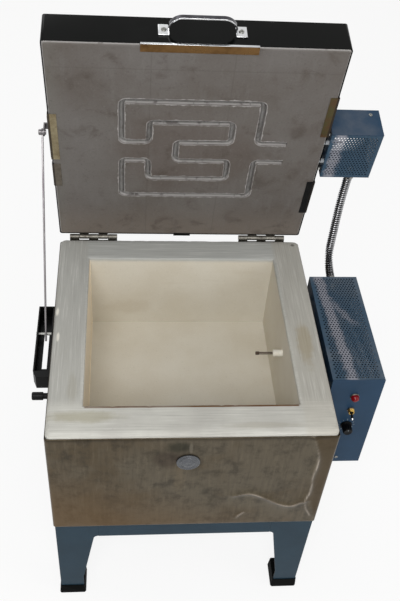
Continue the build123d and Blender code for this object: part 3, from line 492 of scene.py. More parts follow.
def ease(made, width, segments=2, angle=30):
    """Rounds the sharp edges of an object, so that they catch the light."""
    weld = made.modifiers.new("weld", "WELD")
    weld.merge_threshold = 1e-5
    bevel = made.modifiers.new("ease", "BEVEL")
    bevel.width, bevel.segments = width * MM, segments
    bevel.limit_method, bevel.angle_limit = "ANGLE", radians(angle)
    bevel.harden_normals = False
    return made


def paint(finish, *nodes):
    """Gives CAD nodes a finish."""
    for name in nodes:
        data = frame["nodes"][name].data
        data.materials.clear()
        data.materials.append(finish.material)


# %% [markdown]
# ## Stainless steel that has been hot
#
# The skin of the case was once bright. Years of heat have dulled it to a brownish grey, with straw and
# bronze patches low down and at the left, fine brushing along the sheet and darker smears round the
# peephole. One metal shader does it: slow noise moves the colour, and very stretched noise makes the
# brushing in the roughness and the bump.

# %% Stainless finishes
def brushed(name, colour, warm, dark, roughness=0.36, grain=1.0):
    finish = Finish(name, Metallic=1.0)
    x, y, z = finish.place()
    patches = finish.noise(7, detail=5, roughness=0.6, distortion=0.4)
    clouds = finish.noise(30, detail=6, roughness=0.7)
    streaks = finish.noise(1, x * 130, y * 130, z * 16, detail=5, roughness=0.65)
    brushing = finish.noise(1, x * 6, y * 6, z * 900, detail=3)
    shade = finish.mix(patches.between(0.42, 0.68), colour, warm)
    shade = finish.mix(clouds.between(0.44, 0.72) * 0.75, shade, dark)
    shade = finish.mix(streaks.between(0.48, 0.75) * 0.45, shade, dark)
    shade = finish.mix((1 - streaks.between(0.25, 0.5)) * 0.4, shade, tuple(1.5 * c for c in colour))
    finish.set(
        Base_Color=shade, Roughness=roughness + clouds * 0.2 + brushing * 0.08 - 0.12,
        Normal=finish.bump(brushing * 0.5 + clouds * 0.5, 0.00009 * grain))
    return finish


case_steel = brushed("case_steel", rgb(95, 87, 73), rgb(86, 75, 58), rgb(58, 53, 44))
lid_steel = brushed("lid_steel", rgb(140, 138, 133), rgb(126, 119, 108), rgb(98, 94, 90))

# %% [markdown]
# ## Stains, painted highlights and painted shadows on the front
#
# Smoke has stained the steel round the peephole and heat has turned its lower left golden. The ridges
# of the creases get a painted highlight, and the steel beyond the long crease and just under the rim a
# painted shadow. Each stain is one soft spot with a ragged edge, laid over the colour that is there. The
# ridges can't be found from a place alone, so the mesh will carry them as a number.

# %% Stains, painted highlights and painted shadows
x, y, z = case_steel.place()
ragged = case_steel.noise(60, detail=5, roughness=0.65) * 1.1 - 0.55
on_front = (-y).between(0.25, 0.2525)
gold = ((-z) * 2.6 - x * 1.1).between(0.42, 0.95)
FRONT_MARKS = [
    ((-43, -72), (28, 30), 0.5, rgb(50, 38, 32)),
    ((-24, -36), (26, 18), 0.7, rgb(36, 37, 27)),
    ((-4, -40), (4, 18), 0.3, rgb(150, 141, 126)),
    ((-20, -138), (12, 46), 0.25, rgb(118, 104, 82)),
]
case_steel.lay(gold * on_front * 0.6, rgb(100, 74, 38))
for middle_xz, half_xz, strength, colour in FRONT_MARKS:
    case_steel.lay(case_steel.spot(x, z, middle_xz, half_xz, ragged) * on_front * strength, colour)
# Painted shadow on the steel beyond the long crease.
case_steel.lay(case_steel.read("beyond_crease") * 0.65, rgb(72, 57, 34))
# Painted highlight along the ridges of the creases, its strength broken up by noise.
wear_and_glint = case_steel.noise(26, detail=4).between(0.3, 0.65) * 0.45 + 0.2
case_steel.lay(case_steel.read("crease") * wear_and_glint, rgb(206, 194, 180))
# Painted shadow along the top of the case, just under the brick rim.
case_steel.lay((z + 0.01).between(-0.012, 0.0) * 0.6, rgb(40, 36, 30))
print("case steel uses", len(case_steel.tree.nodes), "nodes")

# %% [markdown]
# ## Blue-grey enamel
#
# The stand and both boxes are sprayed with a satin blue-grey enamel. Sprayed paint is never quite flat:
# it has a slight orange-peel, dust on what faces up, and small marks. The dust is a pale, rougher layer
# that a mask of the upward direction lets through.

# %% Enamel finishes
def enamel(name, colour, dust=0.3, roughness=0.42):
    finish = Finish(name, Specular_IOR_Level=0.12)
    peel = finish.noise(900, detail=2)
    marks = finish.noise(60, detail=6, roughness=0.7)
    slow = finish.noise(14, detail=4)
    normal = finish.node("ShaderNodeNewGeometry", out="Normal")
    up = finish.split(normal)[2].between(0.2, 0.95)
    dusty = up * slow.between(0.35, 0.7) * dust
    paler = tuple(0.55 * c + 0.45 * 0.3 for c in colour)
    shade = finish.mix(slow.between(0.3, 0.75) * 0.5, colour, tuple(0.66 * c for c in colour))
    shade = finish.mix(dusty, shade, paler)
    shade = finish.mix(marks.between(0.62, 0.8) * 0.4, shade, tuple(1.8 * c for c in colour))
    finish.set(
        Base_Color=shade, Roughness=roughness + dusty * 0.4 + marks * 0.12 - 0.06,
        Normal=finish.bump(peel * 0.5 + marks * 0.5, 0.00005))
    return finish


stand_enamel = enamel("stand_enamel", rgb(30, 51, 64), dust=0.2)
box_enamel = enamel("box_enamel", rgb(36, 60, 83), dust=0.4)
cover_enamel = enamel("cover_enamel", rgb(54, 75, 93), dust=0.5, roughness=0.5)

# %% [markdown]
# ## Dust on the cover, painted shade in the box
#
# Someone has wiped the dusty top of the control box and left two pale streaks, which run at a slant. Each
# is the distance from a slanted line. Inside the box, the base's finish is painted near-black as painted
# shade, so its holes read black: it turns dark wherever it lies inside the outer faces.

# %% Streaks and the dark inside
x, y, z = cover_enamel.place()
ragged = cover_enamel.noise(60, detail=6, roughness=0.75) * 0.03 - 0.015
on_top = (z + 0.02).between(0.003, 0.005)
main_streak = 1 - abs(x + y * 0.075 - 0.2935 + ragged).between(0.005, 0.014)
short_streak = (1 - abs(x + y * 0.55 - 0.342 + ragged).between(0.003, 0.012)) * (1 - abs(y - 0.05).between(0.02, 0.045))
cover_enamel.lay(main_streak.most(short_streak * 0.6) * on_top * 0.75, rgb(146, 146, 154))
x, y, z = box_enamel.place()
SHELL = 2.2 * MM
box_low, box_high = [corner - at(0, 0, 0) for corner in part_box("control_box_base")]
inside = 1
for wire, low, high in ((x, box_low.x, box_high.x), (y, box_low.y, box_high.y), (z, box_low.z, box_high.z)):
    inside = (wire - low).between(SHELL, SHELL * 1.2) * (high - wire).between(SHELL, SHELL * 1.2) * inside
# Painted shade: the base's inside faces turn near-black, so the holes read black.
box_enamel.lay(inside * 0.85, rgb(9, 10, 11))

# %% [markdown]
# ## Firebrick
#
# Insulating firebrick is a foam of fired clay. Up close it is full of small round pores; from a step back
# it looks like dry, chalky stone. The rim is coated and has gone grey with brown stains, while the
# chamber is still cream. The finish reads its own place on the kiln to decide which it is.

# %% Firebrick finishes
def pores(finish, scale=1.0):
    """The holes of firebrick, as a height that drops into each pore."""
    here = finish.node("ShaderNodeTexCoord", out="Object")
    settings = {"feature": "F1"}
    cells = finish.node("ShaderNodeTexVoronoi", settings, {"Vector": here, "Scale": 520 * scale})
    fine = finish.node("ShaderNodeTexVoronoi", settings, {"Vector": here, "Scale": 1300 * scale})
    size = finish.noise(90 * scale, detail=2).between(0.45, 0.7)
    return (cells.between(0.0, 0.34) * size + (1 - size)) * 0.6 + fine.between(0.0, 0.3) * 0.4


brick = Finish("chamber_brick", Roughness=0.95, Specular_IOR_Level=0.2)
x, y, z = brick.place()
wash = brick.noise(8, detail=5)
streaks = brick.noise(5, x * 1, y * 1, z * 7, detail=4)
specks = brick.noise(330, detail=3, roughness=0.7)
ragged = brick.noise(30, detail=6, roughness=0.65) * 1.2 - 0.6
cream = brick.mix(wash.between(0.3, 0.75), rgb(211, 206, 193), rgb(203, 196, 180))
cream = brick.mix(streaks.between(0.55, 0.8) * 0.3, cream, rgb(179, 166, 143))
# Painted light: the left wall of the chamber is made lighter.
cream = brick.mix((-x).between(0.188, 0.19), cream, rgb(240, 226, 202))
cream = brick.mix(brick.spot(x, z, (-111, -140), (60, 24), ragged) * 0.18, cream, rgb(160, 140, 104))
cream = brick.mix(specks.between(0.6, 0.75) * 0.5, cream, rgb(228, 225, 215))
cream = brick.mix((1 - specks.between(0.25, 0.4)) * 0.35, cream, rgb(150, 142, 124))

on_side = abs(x).between(0.188, 0.2) * y.between(-0.2, -0.17)
along_x = brick.noise(1, x * 9, y * 320, z * 320, detail=4, roughness=0.65)
along_y = brick.noise(1, x * 320, y * 9, z * 320, detail=4, roughness=0.65)
strokes = along_x * (1 - on_side) + along_y * on_side
grey = brick.mix(wash.between(0.3, 0.7), rgb(196, 195, 187), rgb(179, 177, 170))
# Painted shade: the coated rim darkens towards the back.
grey = brick.mix((-y).between(-0.26, 0.1), rgb(170, 171, 167), grey)
grey = brick.mix(on_side * 0.8, grey, rgb(166, 165, 159))
grey = brick.mix(x.between(0.188, 0.2) * 0.15, grey, rgb(169, 156, 131))
grey = brick.mix(strokes.between(0.5, 0.75) * 0.45, grey, rgb(218, 217, 211))
grey = brick.mix((1 - strokes.between(0.25, 0.5)) * 0.45, grey, rgb(139, 137, 131))
RIM_MARKS = [
    ((-190, -214), (75, 14), 0.45, rgb(146, 138, 106)),
    ((221, -48), (17, 60), 0.5, rgb(148, 134, 102)),
    ((-210, -150), (10, 40), 0.3, rgb(150, 144, 126)),
    ((120, -236), (80, 8), 0.3, rgb(150, 142, 124)),
    ((-247, 38), (4, 14), 0.9, rgb(232, 228, 216)),
    ((-242, -28), (3, 12), 0.8, rgb(232, 228, 216)),
    ((238, 236), (5, 4), 0.8, rgb(96, 92, 86)),
]
for middle_xy, half_xy, strength, colour in RIM_MARKS:
    grey = brick.mix(brick.spot(x, y, middle_xy, half_xy, ragged) * strength, grey, colour)
grey = brick.mix(specks.between(0.62, 0.8) * 0.3, grey, rgb(104, 98, 90))

beyond = abs(x).most(abs(y))
coated = z.between(-0.012, -0.001).most(beyond.between(0.1925, 0.196))
# Painted shadow: a brown line along the top inner edge of the front wall, at the mouth.
lip = (1 - abs(y + 0.1928).between(0.0022, 0.0036)) * (1 - abs(x).between(0.186, 0.19)) * z.between(-0.02, -0.014)
shade = brick.mix(coated, cream, grey)
shade = brick.mix(lip * (wash.between(0.3, 0.6) * 0.3 + 0.65), shade, rgb(98, 64, 30))
height = pores(brick) * 0.6 + wash * 0.2 + strokes * coated * 0.2
brick.set(Base_Color=shade, Normal=brick.bump(height, 0.0006, 0.8))

lid_coat = Finish("lid_coat", Roughness=0.93, Specular_IOR_Level=0.2)
x, s, t = lid_coat.lid_place()
slow = lid_coat.noise(6, detail=5)
grain = lid_coat.noise(260, detail=4, roughness=0.75)
strokes = lid_coat.noise(1, x * 60, s * 14, t * 9, detail=5, roughness=0.65)
blots = lid_coat.noise(24, detail=6, roughness=0.65, distortion=0.5)
ragged = lid_coat.noise(16, detail=5, roughness=0.6) * 0.9 - 0.45
shade = lid_coat.mix(slow.between(0.3, 0.7), rgb(104, 100, 97), rgb(92, 86, 81))
shade = lid_coat.mix(lid_coat.spot(x, s, (-10, 258), (170, 120), ragged) * 0.4, shade, rgb(89, 79, 73))
halo = lid_coat.spot(x, s, (-10, 240), (235, 185), ragged) - lid_coat.spot(x, s, (-10, 250), (190, 140), ragged)
shade = lid_coat.mix(halo.most(0) * 0.35, shade, rgb(114, 112, 109))
shade = lid_coat.mix((-x).between(0.215, 0.25) * 0.25, shade, rgb(112, 111, 104))
shade = lid_coat.mix((0.12 - s).between(0, 0.12) * 0.6, shade, rgb(122, 112, 102))
shade = lid_coat.mix(strokes.between(0.5, 0.75) * 0.35, shade, rgb(112, 109, 106))
shade = lid_coat.mix(blots.between(0.52, 0.75) * 0.55, shade, rgb(72, 64, 58))
shade = lid_coat.mix(grain.between(0.55, 0.75) * 0.35, shade, rgb(122, 119, 116))
shade = lid_coat.mix((1 - grain.between(0.28, 0.45)) * 0.35, shade, rgb(62, 56, 52))
seams = (1 - abs(x + 0.076).between(0.0004, 0.0016)).most(1 - abs(x - 0.063).between(0.0004, 0.0016))
seams = seams.most(1 - abs(s - 0.455).between(0.0004, 0.0016))
shade = lid_coat.mix(seams * 0.16, shade, rgb(70, 64, 58))
dark_turns = lid_coat.noise(34, detail=3).between(0.56, 0.66) * 0.6
groove = lid_coat.mix(dark_turns, rgb(172, 169, 166), rgb(58, 46, 42))
shade = lid_coat.mix(t.between(0.0005, 0.003), shade, groove)
lid_coat.set(
    Base_Color=shade,
    Normal=lid_coat.bump(pores(lid_coat) * 0.55 + strokes * 0.3 - seams * 0.3 + 0.3, 0.0005, 0.7))
print("firebrick uses", len(brick.tree.nodes), "nodes, the lid's coat", len(lid_coat.tree.nodes))

# %% [markdown]
# ## The smaller finishes
#
# Chrome, zinc plate, black enamel, plastic, rubber and white ceramic each need only a colour, a
# roughness and a little unevenness, so one function makes them all. The unevenness matters: a perfectly
# even surface is the first thing that looks like a computer made it.

# %% Plain finishes with a little wear
def plain(name, colour, wear_and_glint, metal=0.0, roughness=0.4, uneven=0.12, grain=40, depth=0.00004, **more):
    finish = Finish(name, Metallic=metal, **more)
    marks = finish.noise(grain, detail=5, roughness=0.6)
    fine = finish.noise(grain * 14, detail=3)
    finish.set(
        Base_Color=finish.mix(marks.between(0.45, 0.75), colour, wear_and_glint),
        Roughness=roughness + marks * uneven - uneven / 2,
        Normal=finish.bump(fine * 0.5 + marks * 0.5, depth))
    return finish


zinc = plain("zinc_plate", rgb(138, 138, 134), rgb(116, 114, 108), 1.0, 0.32, 0.2)
old_zinc = plain("old_zinc", rgb(118, 115, 108), rgb(76, 72, 66), 1.0, 0.42, 0.2)
stay_zinc = plain("stay_zinc", rgb(112, 109, 110), rgb(92, 86, 90), 1.0, 0.36, 0.15, 30)
chrome = plain("bright_chrome", rgb(206, 207, 208), rgb(176, 177, 180), 1.0, 0.14, 0.06, 25, 0.00001)
# A darkened copy of the chrome: painted shade for the handle's broad faces.
shaded_chrome = plain("shaded_chrome", rgb(78, 78, 82), rgb(52, 50, 54), 1.0, 0.16, 0.1, 25, 0.00001)
galvanised = plain("galvanised", rgb(140, 142, 144), rgb(112, 116, 120), 1.0, 0.4, 0.2, 60)
conduit_steel = plain("conduit_steel", rgb(168, 168, 170), rgb(112, 112, 114), 1.0, 0.24, 0.15, 80)
# Painted shade: a near-black finish for the faces in the gaps between the conduit's ribs.
conduit_gap = plain("conduit_gap", rgb(9, 9, 10), rgb(20, 19, 19), 0.0, 0.7, 0.1, 80, Specular_IOR_Level=0.1)
band_black = plain(
    "band_black", rgb(3, 4, 3), rgb(8, 9, 8), 0.0, 0.1, 0.1, 9, 0.00003, Specular_IOR_Level=0.08)
satin_black = plain("satin_black", rgb(8, 9, 9), rgb(17, 17, 16), 0.0, 0.42, 0.2, 50, Specular_IOR_Level=0.12)
rubber = plain(
    "boot_rubber", rgb(4, 5, 5), rgb(9, 10, 10), 0.0, 0.75, 0.15, 70, 0.0001, Specular_IOR_Level=0.06)
white_ceramic = plain("white_ceramic", rgb(226, 222, 210), rgb(206, 198, 180), 0.0, 0.6, 0.1, 60, 0.00008)
bushing_ceramic = plain("bushing_ceramic", rgb(138, 142, 146), rgb(100, 98, 96), 0.0, 0.6, 0.1, 90, 0.00008)
plug_glaze = plain("plug_glaze", rgb(74, 76, 80), rgb(50, 52, 56), 0.0, 0.28, 0.15, 90, Specular_IOR_Level=0.4)
board = plain("base_board", rgb(212, 207, 190), rgb(196, 188, 168), 0.0, 0.9, 0.05, 120, 0.0002)
element_wire = plain("element_wire", rgb(143, 141, 139), rgb(101, 96, 91), 0.2, 0.6, 0.2, 90, 0.00008)
probe_wire = plain("probe_wire", rgb(74, 60, 50), rgb(40, 32, 28), 0.5, 0.55, 0.2, 90, 0.00008)
brass = plain("brass", rgb(176, 146, 78), rgb(120, 92, 48), 1.0, 0.25, 0.15, 60)
black_plastic = plain("black_plastic", rgb(4, 4, 5), rgb(9, 9, 10), 0.0, 0.4, 0.1, 90, Specular_IOR_Level=0.12)
white_plastic = plain("white_plastic", rgb(224, 222, 214), rgb(205, 202, 192), 0.0, 0.4, 0.1, 90)
dial_print = plain("dial_print", rgb(138, 148, 150), rgb(104, 116, 122), 0.0, 0.6, 0.1, 90)
red_lens = plain(
    "red_lens", rgb(112, 4, 14), rgb(72, 2, 10), 0.0, 0.08, 0.04, 30, Specular_IOR_Level=0.22,
    Emission_Color=rgb(120, 4, 12), Emission_Strength=0.05)
print("plain finishes ready")

# %% [markdown]
# ## Clips that have browned
#
# The sheet clips under the edge of the lid were all blackened once. Those nearest the front have browned
# to olive and tan, and those near the hinge are still black. They are one group of solids, so one finish
# reads its own place on the lid and picks each clip's colour.

# %% The clips' finishes
side_clips = plain("side_clips", rgb(8, 8, 8), rgb(18, 17, 15), 0.6, 0.42, 0.2, 50)
x, s, t = side_clips.lid_place()
rusty = side_clips.noise(70, detail=5, roughness=0.7).between(0.35, 0.7)
left_front = (-x).between(0.2, 0.21) * s.between(0.228, 0.23)
left_rear = (-x).between(0.2, 0.21) * (1 - s.between(0.228, 0.23))
right_front = x.between(0.2, 0.21) * s.between(0.25, 0.26)
outer_edge = abs(x).between(0.2505, 0.2515)
side_clips.lay(left_front, side_clips.mix(rusty, rgb(152, 141, 113), rgb(126, 112, 84)))
side_clips.lay(left_rear, side_clips.mix(rusty, rgb(108, 101, 90), rgb(84, 76, 66)))
side_clips.lay(right_front, side_clips.mix(rusty, rgb(78, 71, 40), rgb(88, 60, 36)))
side_clips.lay(outer_edge * 0.85, rgb(40, 32, 26))
tan_sheet = plain("tan_sheet", rgb(140, 108, 70), rgb(96, 68, 40), 1.0, 0.3, 0.2, 30)

# %% [markdown]
# ## The dented skin of the case
#
# The skin is one bent stainless sheet. A knock has left two sharp creases at the right of the front, and
# the whole panel is a little wavy, as thin sheet is. The skin is a fine grid round the case, pushed
# outwards by a height that falls away from each crease like a tent from its ridge. A modifier gives the
# sheet its thickness, and the two holes are cut afterwards.

# %% The case skin
CASE_TOP, CASE_BOTTOM, CASE_BEND = -10, -290, 5
GRID = 2.5
CORNER = (221, -213)
SIDE_CREASE = [(207, -10), (222.5, -60), (226, -97), (223.5, -130), (227, -178), CORNER]
CREASES = [
    (SIDE_CREASE, 4.6, 5),
    ([CORNER, (227, -238), (239.5, -267)], 3.4, 5),
    ([(84, -191), (113.5, -184), (142, -198), (173.5, -221), (198, -229), CORNER], 4.6, 6),
    ([(95, -268.5), (101, -258), (108, -251)], 2.0, 3),
]


def smoothed(line, steps=6):
    """A soft line through a few points, each span bent towards its neighbours."""
    ends = [Vector(line[0]) * 2 - Vector(line[1]), *map(Vector, line), Vector(line[-1]) * 2 - Vector(line[-2])]
    made = []
    for a, b, c, d in zip(ends, ends[1:], ends[2:], ends[3:]):
        for k in range(steps):
            u = k / steps
            made.append(0.5 * (2 * b + (c - a) * u + (2 * a - 5 * b + 4 * c - d) * u ** 2 + (3 * b - a - 3 * c + d) * u ** 3))
    return made + [ends[-2]]


CREASES = [(smoothed(line), tall, wide) for line, tall, wide in CREASES]


def line_distance(x, z, line):
    """How far a place on the front is from a line, and how far along the line the nearest point is."""
    best = (1e9, 0)
    for n, ((ax, az), (bx, bz)) in enumerate(zip(line, line[1:])):
        dx, dz = bx - ax, bz - az
        share = max(0, min(1, ((x - ax) * dx + (z - az) * dz) / (dx * dx + dz * dz)))
        best = min(best, (hypot(x - ax - share * dx, z - az - share * dz), (n + share) / (len(line) - 1)))
    return best


def crease_pulls(x, z):
    """For each crease near a place: its distance, its share along, its height and its width."""
    if x < 70:
        return []
    return [(*line_distance(x, z, line), tall, wide) for line, tall, wide in CREASES]


def front_height(x, z):
    """How far the front stands out of flat, in millimetres."""
    edge = min(1, (254 - abs(x)) / 30, (z - CASE_BOTTOM) / 12 + 0.25, (CASE_TOP - z) / 10 + 0.25)
    height = 0.35 + 0.3 * sin(x * 0.021 + 1) * sin(z * 0.024 + 2) + 0.2 * sin(x * 0.043 + z * 0.031)
    for distance, along, tall, wide in crease_pulls(x, z):
        height += tall * exp(-distance / wide) * (0.35 + 0.65 * sin(pi * min(1, 0.15 + 0.8 * along)))
    return max(0, edge) * max(0, height)


def front_tints(x, z):
    """How much painted highlight on a crease's ridge, and painted shadow beyond the long crease, a place shows."""
    ridge = max(
        (exp(-(distance / 1.5) ** 2) * min(1, 0.1 + 3 * along) for distance, along, *_ in crease_pulls(x, z)),
        default=0)
    ahead_x = next((a.x for a, b in zip(CREASES[0][0], CREASES[0][0][1:]) if b.y <= z <= a.y), 230 + (-213 - z) * 0.3)
    return ridge, max(0, min(1, (x - ahead_x) / 5))


def skin_loop():
    """Points round the case in plan, as (x, y, outward direction) in millimetres."""
    flat = 254 - CASE_BEND
    loop = []
    steps = [k * GRID - flat for k in range(int(2 * flat / GRID))]
    for quarter in range(4):
        turn_by = Matrix.Rotation(quarter * pi / 2, 2)
        along = steps if quarter == 0 else [-flat, -flat / 3, flat / 3]
        for x in along:
            loop.append((turn_by @ Vector((x, -254)), turn_by @ Vector((0, -1))))
        for k in range(5):
            a = radians(-90 + 18 * k)
            way = Vector((cos(a), sin(a)))
            loop.append((turn_by @ (Vector((flat, -flat)) + way * CASE_BEND), turn_by @ way))
    return loop


loop = skin_loop()
rows = [CASE_TOP - GRID * k for k in range(int((CASE_TOP - CASE_BOTTOM) / GRID) + 1)]
points, faces, tints = [], [], []
for z in rows:
    for place, way in loop:
        on_the_front = place.y < -253.9
        out = front_height(place.x, z) if on_the_front else 0
        # The right side just round the front corner also gets the painted shadow.
        tints.append(front_tints(place.x, z) if on_the_front else (0, float(place.y < -245 and place.x > 200)))
        lip = 0.6 if z == rows[0] else 0
        points.append(at(place.x + way.x * (out - lip), place.y + way.y * (out - lip), z))
for n in range(len(rows) - 1):
    for k in range(len(loop)):
        j = (k + 1) % len(loop)
        a, b = n * len(loop), (n + 1) * len(loop)
        faces.append((a + k, a + j, b + j, b + k))
skin = piece("case_skin", points, faces, case_steel, "kiln", "stainless_case", ["case_wrap"], 24)
for name, values in zip(("crease", "beyond_crease"), zip(*tints)):
    skin.data.attributes.new(name, "FLOAT", "POINT").data.foreach_set("value", values)
sheet = skin.modifiers.new("thickness", "SOLIDIFY")
sheet.thickness, sheet.offset = 1.0 * MM, -1
settle(skin)
carve(skin, *turned([(-6, 13.2), (6, 13.2)], at(-7, -254, -80), (0, 1, 0), 40))
carve(skin, *turned([(-6, 7.4), (6, 7.4)], at(254, -14, -64), (1, 0, 0), 32))
lap_points = [at(x, y, z) for z in (CASE_BOTTOM, CASE_TOP) for x, y in ((-13, 254), (13, 254), (13, 255), (-13, 255))]
lap_faces = [(0, 1, 2, 3), (4, 5, 6, 7), (0, 1, 5, 4), (1, 2, 6, 5), (2, 3, 7, 6), (3, 0, 4, 7)]
ease(piece("case_lap", lap_points, lap_faces, case_steel, "kiln", "stainless_case"), 0.4)
print("skin", len(skin.data.polygons), "faces, keeps", "crease" in skin.data.attributes)

# %% [markdown]
# ## The brick walls
#
# The four walls are cemented and coated, so they read as one square ring of brick. The ring is made from
# its cross-section: up the chamber side, over a worn mouth edge, across the top, over the rounded outer
# edge and down inside the case. Each point of that section becomes one rounded square, and neighbouring
# squares are joined. A little noise along the way chips and wears the edges.

# %% The ring of brick
OUTER, INNER, WALL_DEPTH = 252.5, 190.5, 188
SECTION = [(INNER, -WALL_DEPTH), (INNER, -120), (INNER, -60), (INNER, -20), (INNER, -8), (INNER, -4)]
SECTION += [(INNER + 3 - 3 * cos(a), -3 + 3 * sin(a)) for a in (radians(k) for k in (15, 35, 55, 75))]
SECTION += [(INNER + w, 0) for w in (6, 14, 24, 34, 44)]
SECTION += [(OUTER - 9.5 + 9.5 * sin(a), -9.5 + 9.5 * cos(a)) for a in (radians(k) for k in (8, 25, 42, 60, 78))]
SECTION += [(OUTER, -10), (OUTER, -40), (OUTER, -WALL_DEPTH)]


def square_loop(half, bend, per_side=60):
    """A rounded square as points in plan."""
    loop = []
    flat = half - bend
    for quarter in range(4):
        turn_by = Matrix.Rotation(quarter * pi / 2, 2)
        for k in range(per_side):
            loop.append(turn_by @ Vector((flat * (2 * k / per_side - 1), -half)))
        for k in range(6):
            a = radians(-90 + 15 * k)
            loop.append(turn_by @ (Vector((flat, -flat)) + Vector((cos(a), sin(a))) * bend))
    return loop


points, faces = [], []
for half, height in SECTION:
    share = (half - INNER) / (OUTER - INNER)
    for place in square_loop(half, 1.2 + 8.3 * share):
        here = Vector((place.x, place.y, height))
        wear_and_glint = noise.fractal(here * 0.03, 0.9, 2.0, 4) * 0.5 + noise.noise(here * 0.25) * 0.28
        near_edge = exp(-((min(abs(half - INNER), abs(half - OUTER)) / 5) ** 2)) if height > -16 else 0
        chip = max(0, noise.noise(here * 0.11 + Vector((7, 3, 1))) - 0.3) * 5 * near_edge
        drop = wear_and_glint * (0.6 if height > -9 else 0.2) - chip
        centre = Vector((place.x, place.y, 0)).normalized()
        shift = Vector((0, 0, drop)) if height > -6 else Vector((0, 0, 0))
        push = centre * (wear_and_glint * 0.4 + chip * 0.6) * (1 if half < 200 else 0)
        points.append(at(*(here + shift + push)))
count = len(points) // len(SECTION)
for n in range(len(SECTION)):
    a, b = n * count, (n + 1) % len(SECTION) * count
    for k in range(count):
        j = (k + 1) % count
        faces.append((a + k, a + j, b + j, b + k))
walls = ["front_wall_brick", "back_wall_brick", "left_wall_brick", "right_wall_brick"]
ring = piece("brick_ring", points, faces, brick, "kiln", "firebrick", walls, 40)
carve(ring, *turned([(-10, 12.9), (75, 12.9)], at(-7, -254, -80), (0, 1, 0), 40))
carve(ring, *turned([(-10, 7.3), (75, 7.3)], at(254, -14, -64), (-1, 0, 0), 32))
paint(brick, "floor_brick")
paint(board, "base_board")
paint(galvanised, "bottom_pan")
print("brick ring", len(ring.data.polygons), "faces")

# %% [markdown]
# ## Perforated covers
#
# Both boxes wear a cover of perforated sheet, bent over the top, down the outer side and under the
# bottom. The holes could be painted on, but real holes let the eye look through and throw real shadows.
# The sheet is laid out flat as brick-shaped cells with a round hole in each, every other row shifted by
# half a cell, and then bent: only the flat parts have holes, and the bends stay solid.

# %% A perforated and bent sheet
PITCH = 6.0
ROW = PITCH * 3 ** 0.5 / 2
HOLE = 2.05
HOLE_SIDES = 8


def perforated(width, height, depth, margin=3.0, bend=1.6):
    """A cover's (points, faces), with x out from the kiln, y along its length and z up, in millimetres."""
    panels = [width - bend - margin, height - 2 * (bend + margin), width - bend - margin]
    rows_count = int((depth - 2 * margin) / ROW)
    first_row = (depth - rows_count * ROW) / 2
    stations, holes, u = [0.0], [], 0.0
    for n, length in enumerate(panels):
        u += margin if n == 0 else 0
        length -= margin if n == 0 or n == 2 else 0
        cells = int((length / PITCH) - 0.5)
        spare = (length - (cells + 0.5) * PITCH) / 2
        start = u + spare
        holes.append((start, cells))
        stations += [start + PITCH / 2 * k for k in range(2 * cells + 2)]
        u += length
        if n < 2:
            stations.append(u + margin)
            arc = bend * pi / 2
            stations += [u + margin + arc * k / 4 for k in range(1, 5)]
            u += 2 * margin + arc
    stations.append(u + margin)

    def bent(u, v):
        """Where a point of the flat sheet ends up: (x, y, z)."""
        top_flat, side_flat, arc = width - bend, height - 2 * bend, bend * pi / 2
        if u <= top_flat:
            return Vector((u, v, height))
        u -= top_flat
        if u <= arc:
            return Vector((width - bend + bend * sin(u / bend), v, height - bend + bend * cos(u / bend)))
        u -= arc
        if u <= side_flat:
            return Vector((width, v, height - bend - u))
        u -= side_flat
        if u <= arc:
            return Vector((width - bend + bend * cos(u / bend), v, bend - bend * sin(u / bend)))
        return Vector((width - bend - (u - arc), v, 0))

    index, flat, faces = {}, [], []

    def corner(u, v):
        key = (round(u, 3), round(v, 3))
        if key not in index:
            index[key] = len(flat)
            flat.append(key)
        return index[key]

    lines = [0.0] + [first_row + ROW * k for k in range(rows_count + 1)] + [depth]
    for row, (low, high) in enumerate(zip(lines, lines[1:])):
        taken = set()
        if 0 < row <= rows_count:
            for start, cells in holes:
                first = start + (PITCH / 2 if row % 2 == 0 else 0)
                for cell in range(cells):
                    a = first + cell * PITCH
                    around = [corner(a + du * PITCH, v) for du, v in
                              ((0, low), (0.5, low), (1, low), (1, high), (0.5, high), (0, high))]
                    centre = (a + PITCH / 2, (low + high) / 2)
                    rim_points = []
                    for k in range(HOLE_SIDES):
                        angle = tau * (k + 0.5) / HOLE_SIDES
                        rim_points.append(
                            corner(centre[0] + HOLE * cos(angle), centre[1] + HOLE * sin(angle)))
                    faces += ring_faces(around, rim_points, flat, centre)
                    taken.add(round(a, 3))
                    taken.add(round(a + PITCH / 2, 3))
        for a, b in zip(stations, stations[1:]):
            if round(a, 3) not in taken and b - a > 1e-6:
                faces.append((corner(a, low), corner(b, low), corner(b, high), corner(a, high)))
    return [bent(u, v) for u, v in flat], faces


def ring_faces(outer, inner, flat, centre):
    """Triangles between two loops round a centre, each given as point numbers."""
    def angle(number):
        return atan2(flat[number][1] - centre[1], flat[number][0] - centre[0]) % tau

    outer, inner = sorted(outer, key=angle), sorted(inner, key=angle)
    made, i, j = [], 0, 0
    while i < len(outer) or j < len(inner):
        next_outer = angle(outer[i % len(outer)]) + tau * (i // len(outer))
        next_inner = angle(inner[j % len(inner)]) + tau * (j // len(inner))
        if j >= len(inner) or (i < len(outer) and next_outer < next_inner):
            made.append((outer[i - 1], outer[i % len(outer)], inner[(j - 1) % len(inner)]))
            i += 1
        else:
            made.append((outer[(i - 1) % len(outer)], inner[j % len(inner)], inner[j - 1]))
            j += 1
    return made


def cover(name, node, width, height, depth, place, body):
    """One perforated cover in its place, with its sheet's thickness."""
    points, faces = perforated(width, height, depth)
    made = piece(name, [place(*point) for point in points], faces, cover_enamel, body, "box_paint", [node])
    sheet = made.modifiers.new("thickness", "SOLIDIFY")
    sheet.thickness, sheet.offset = 1.0 * MM, -1
    settle(made)
    made.data.set_sharp_from_angle(angle=radians(35))
    return made


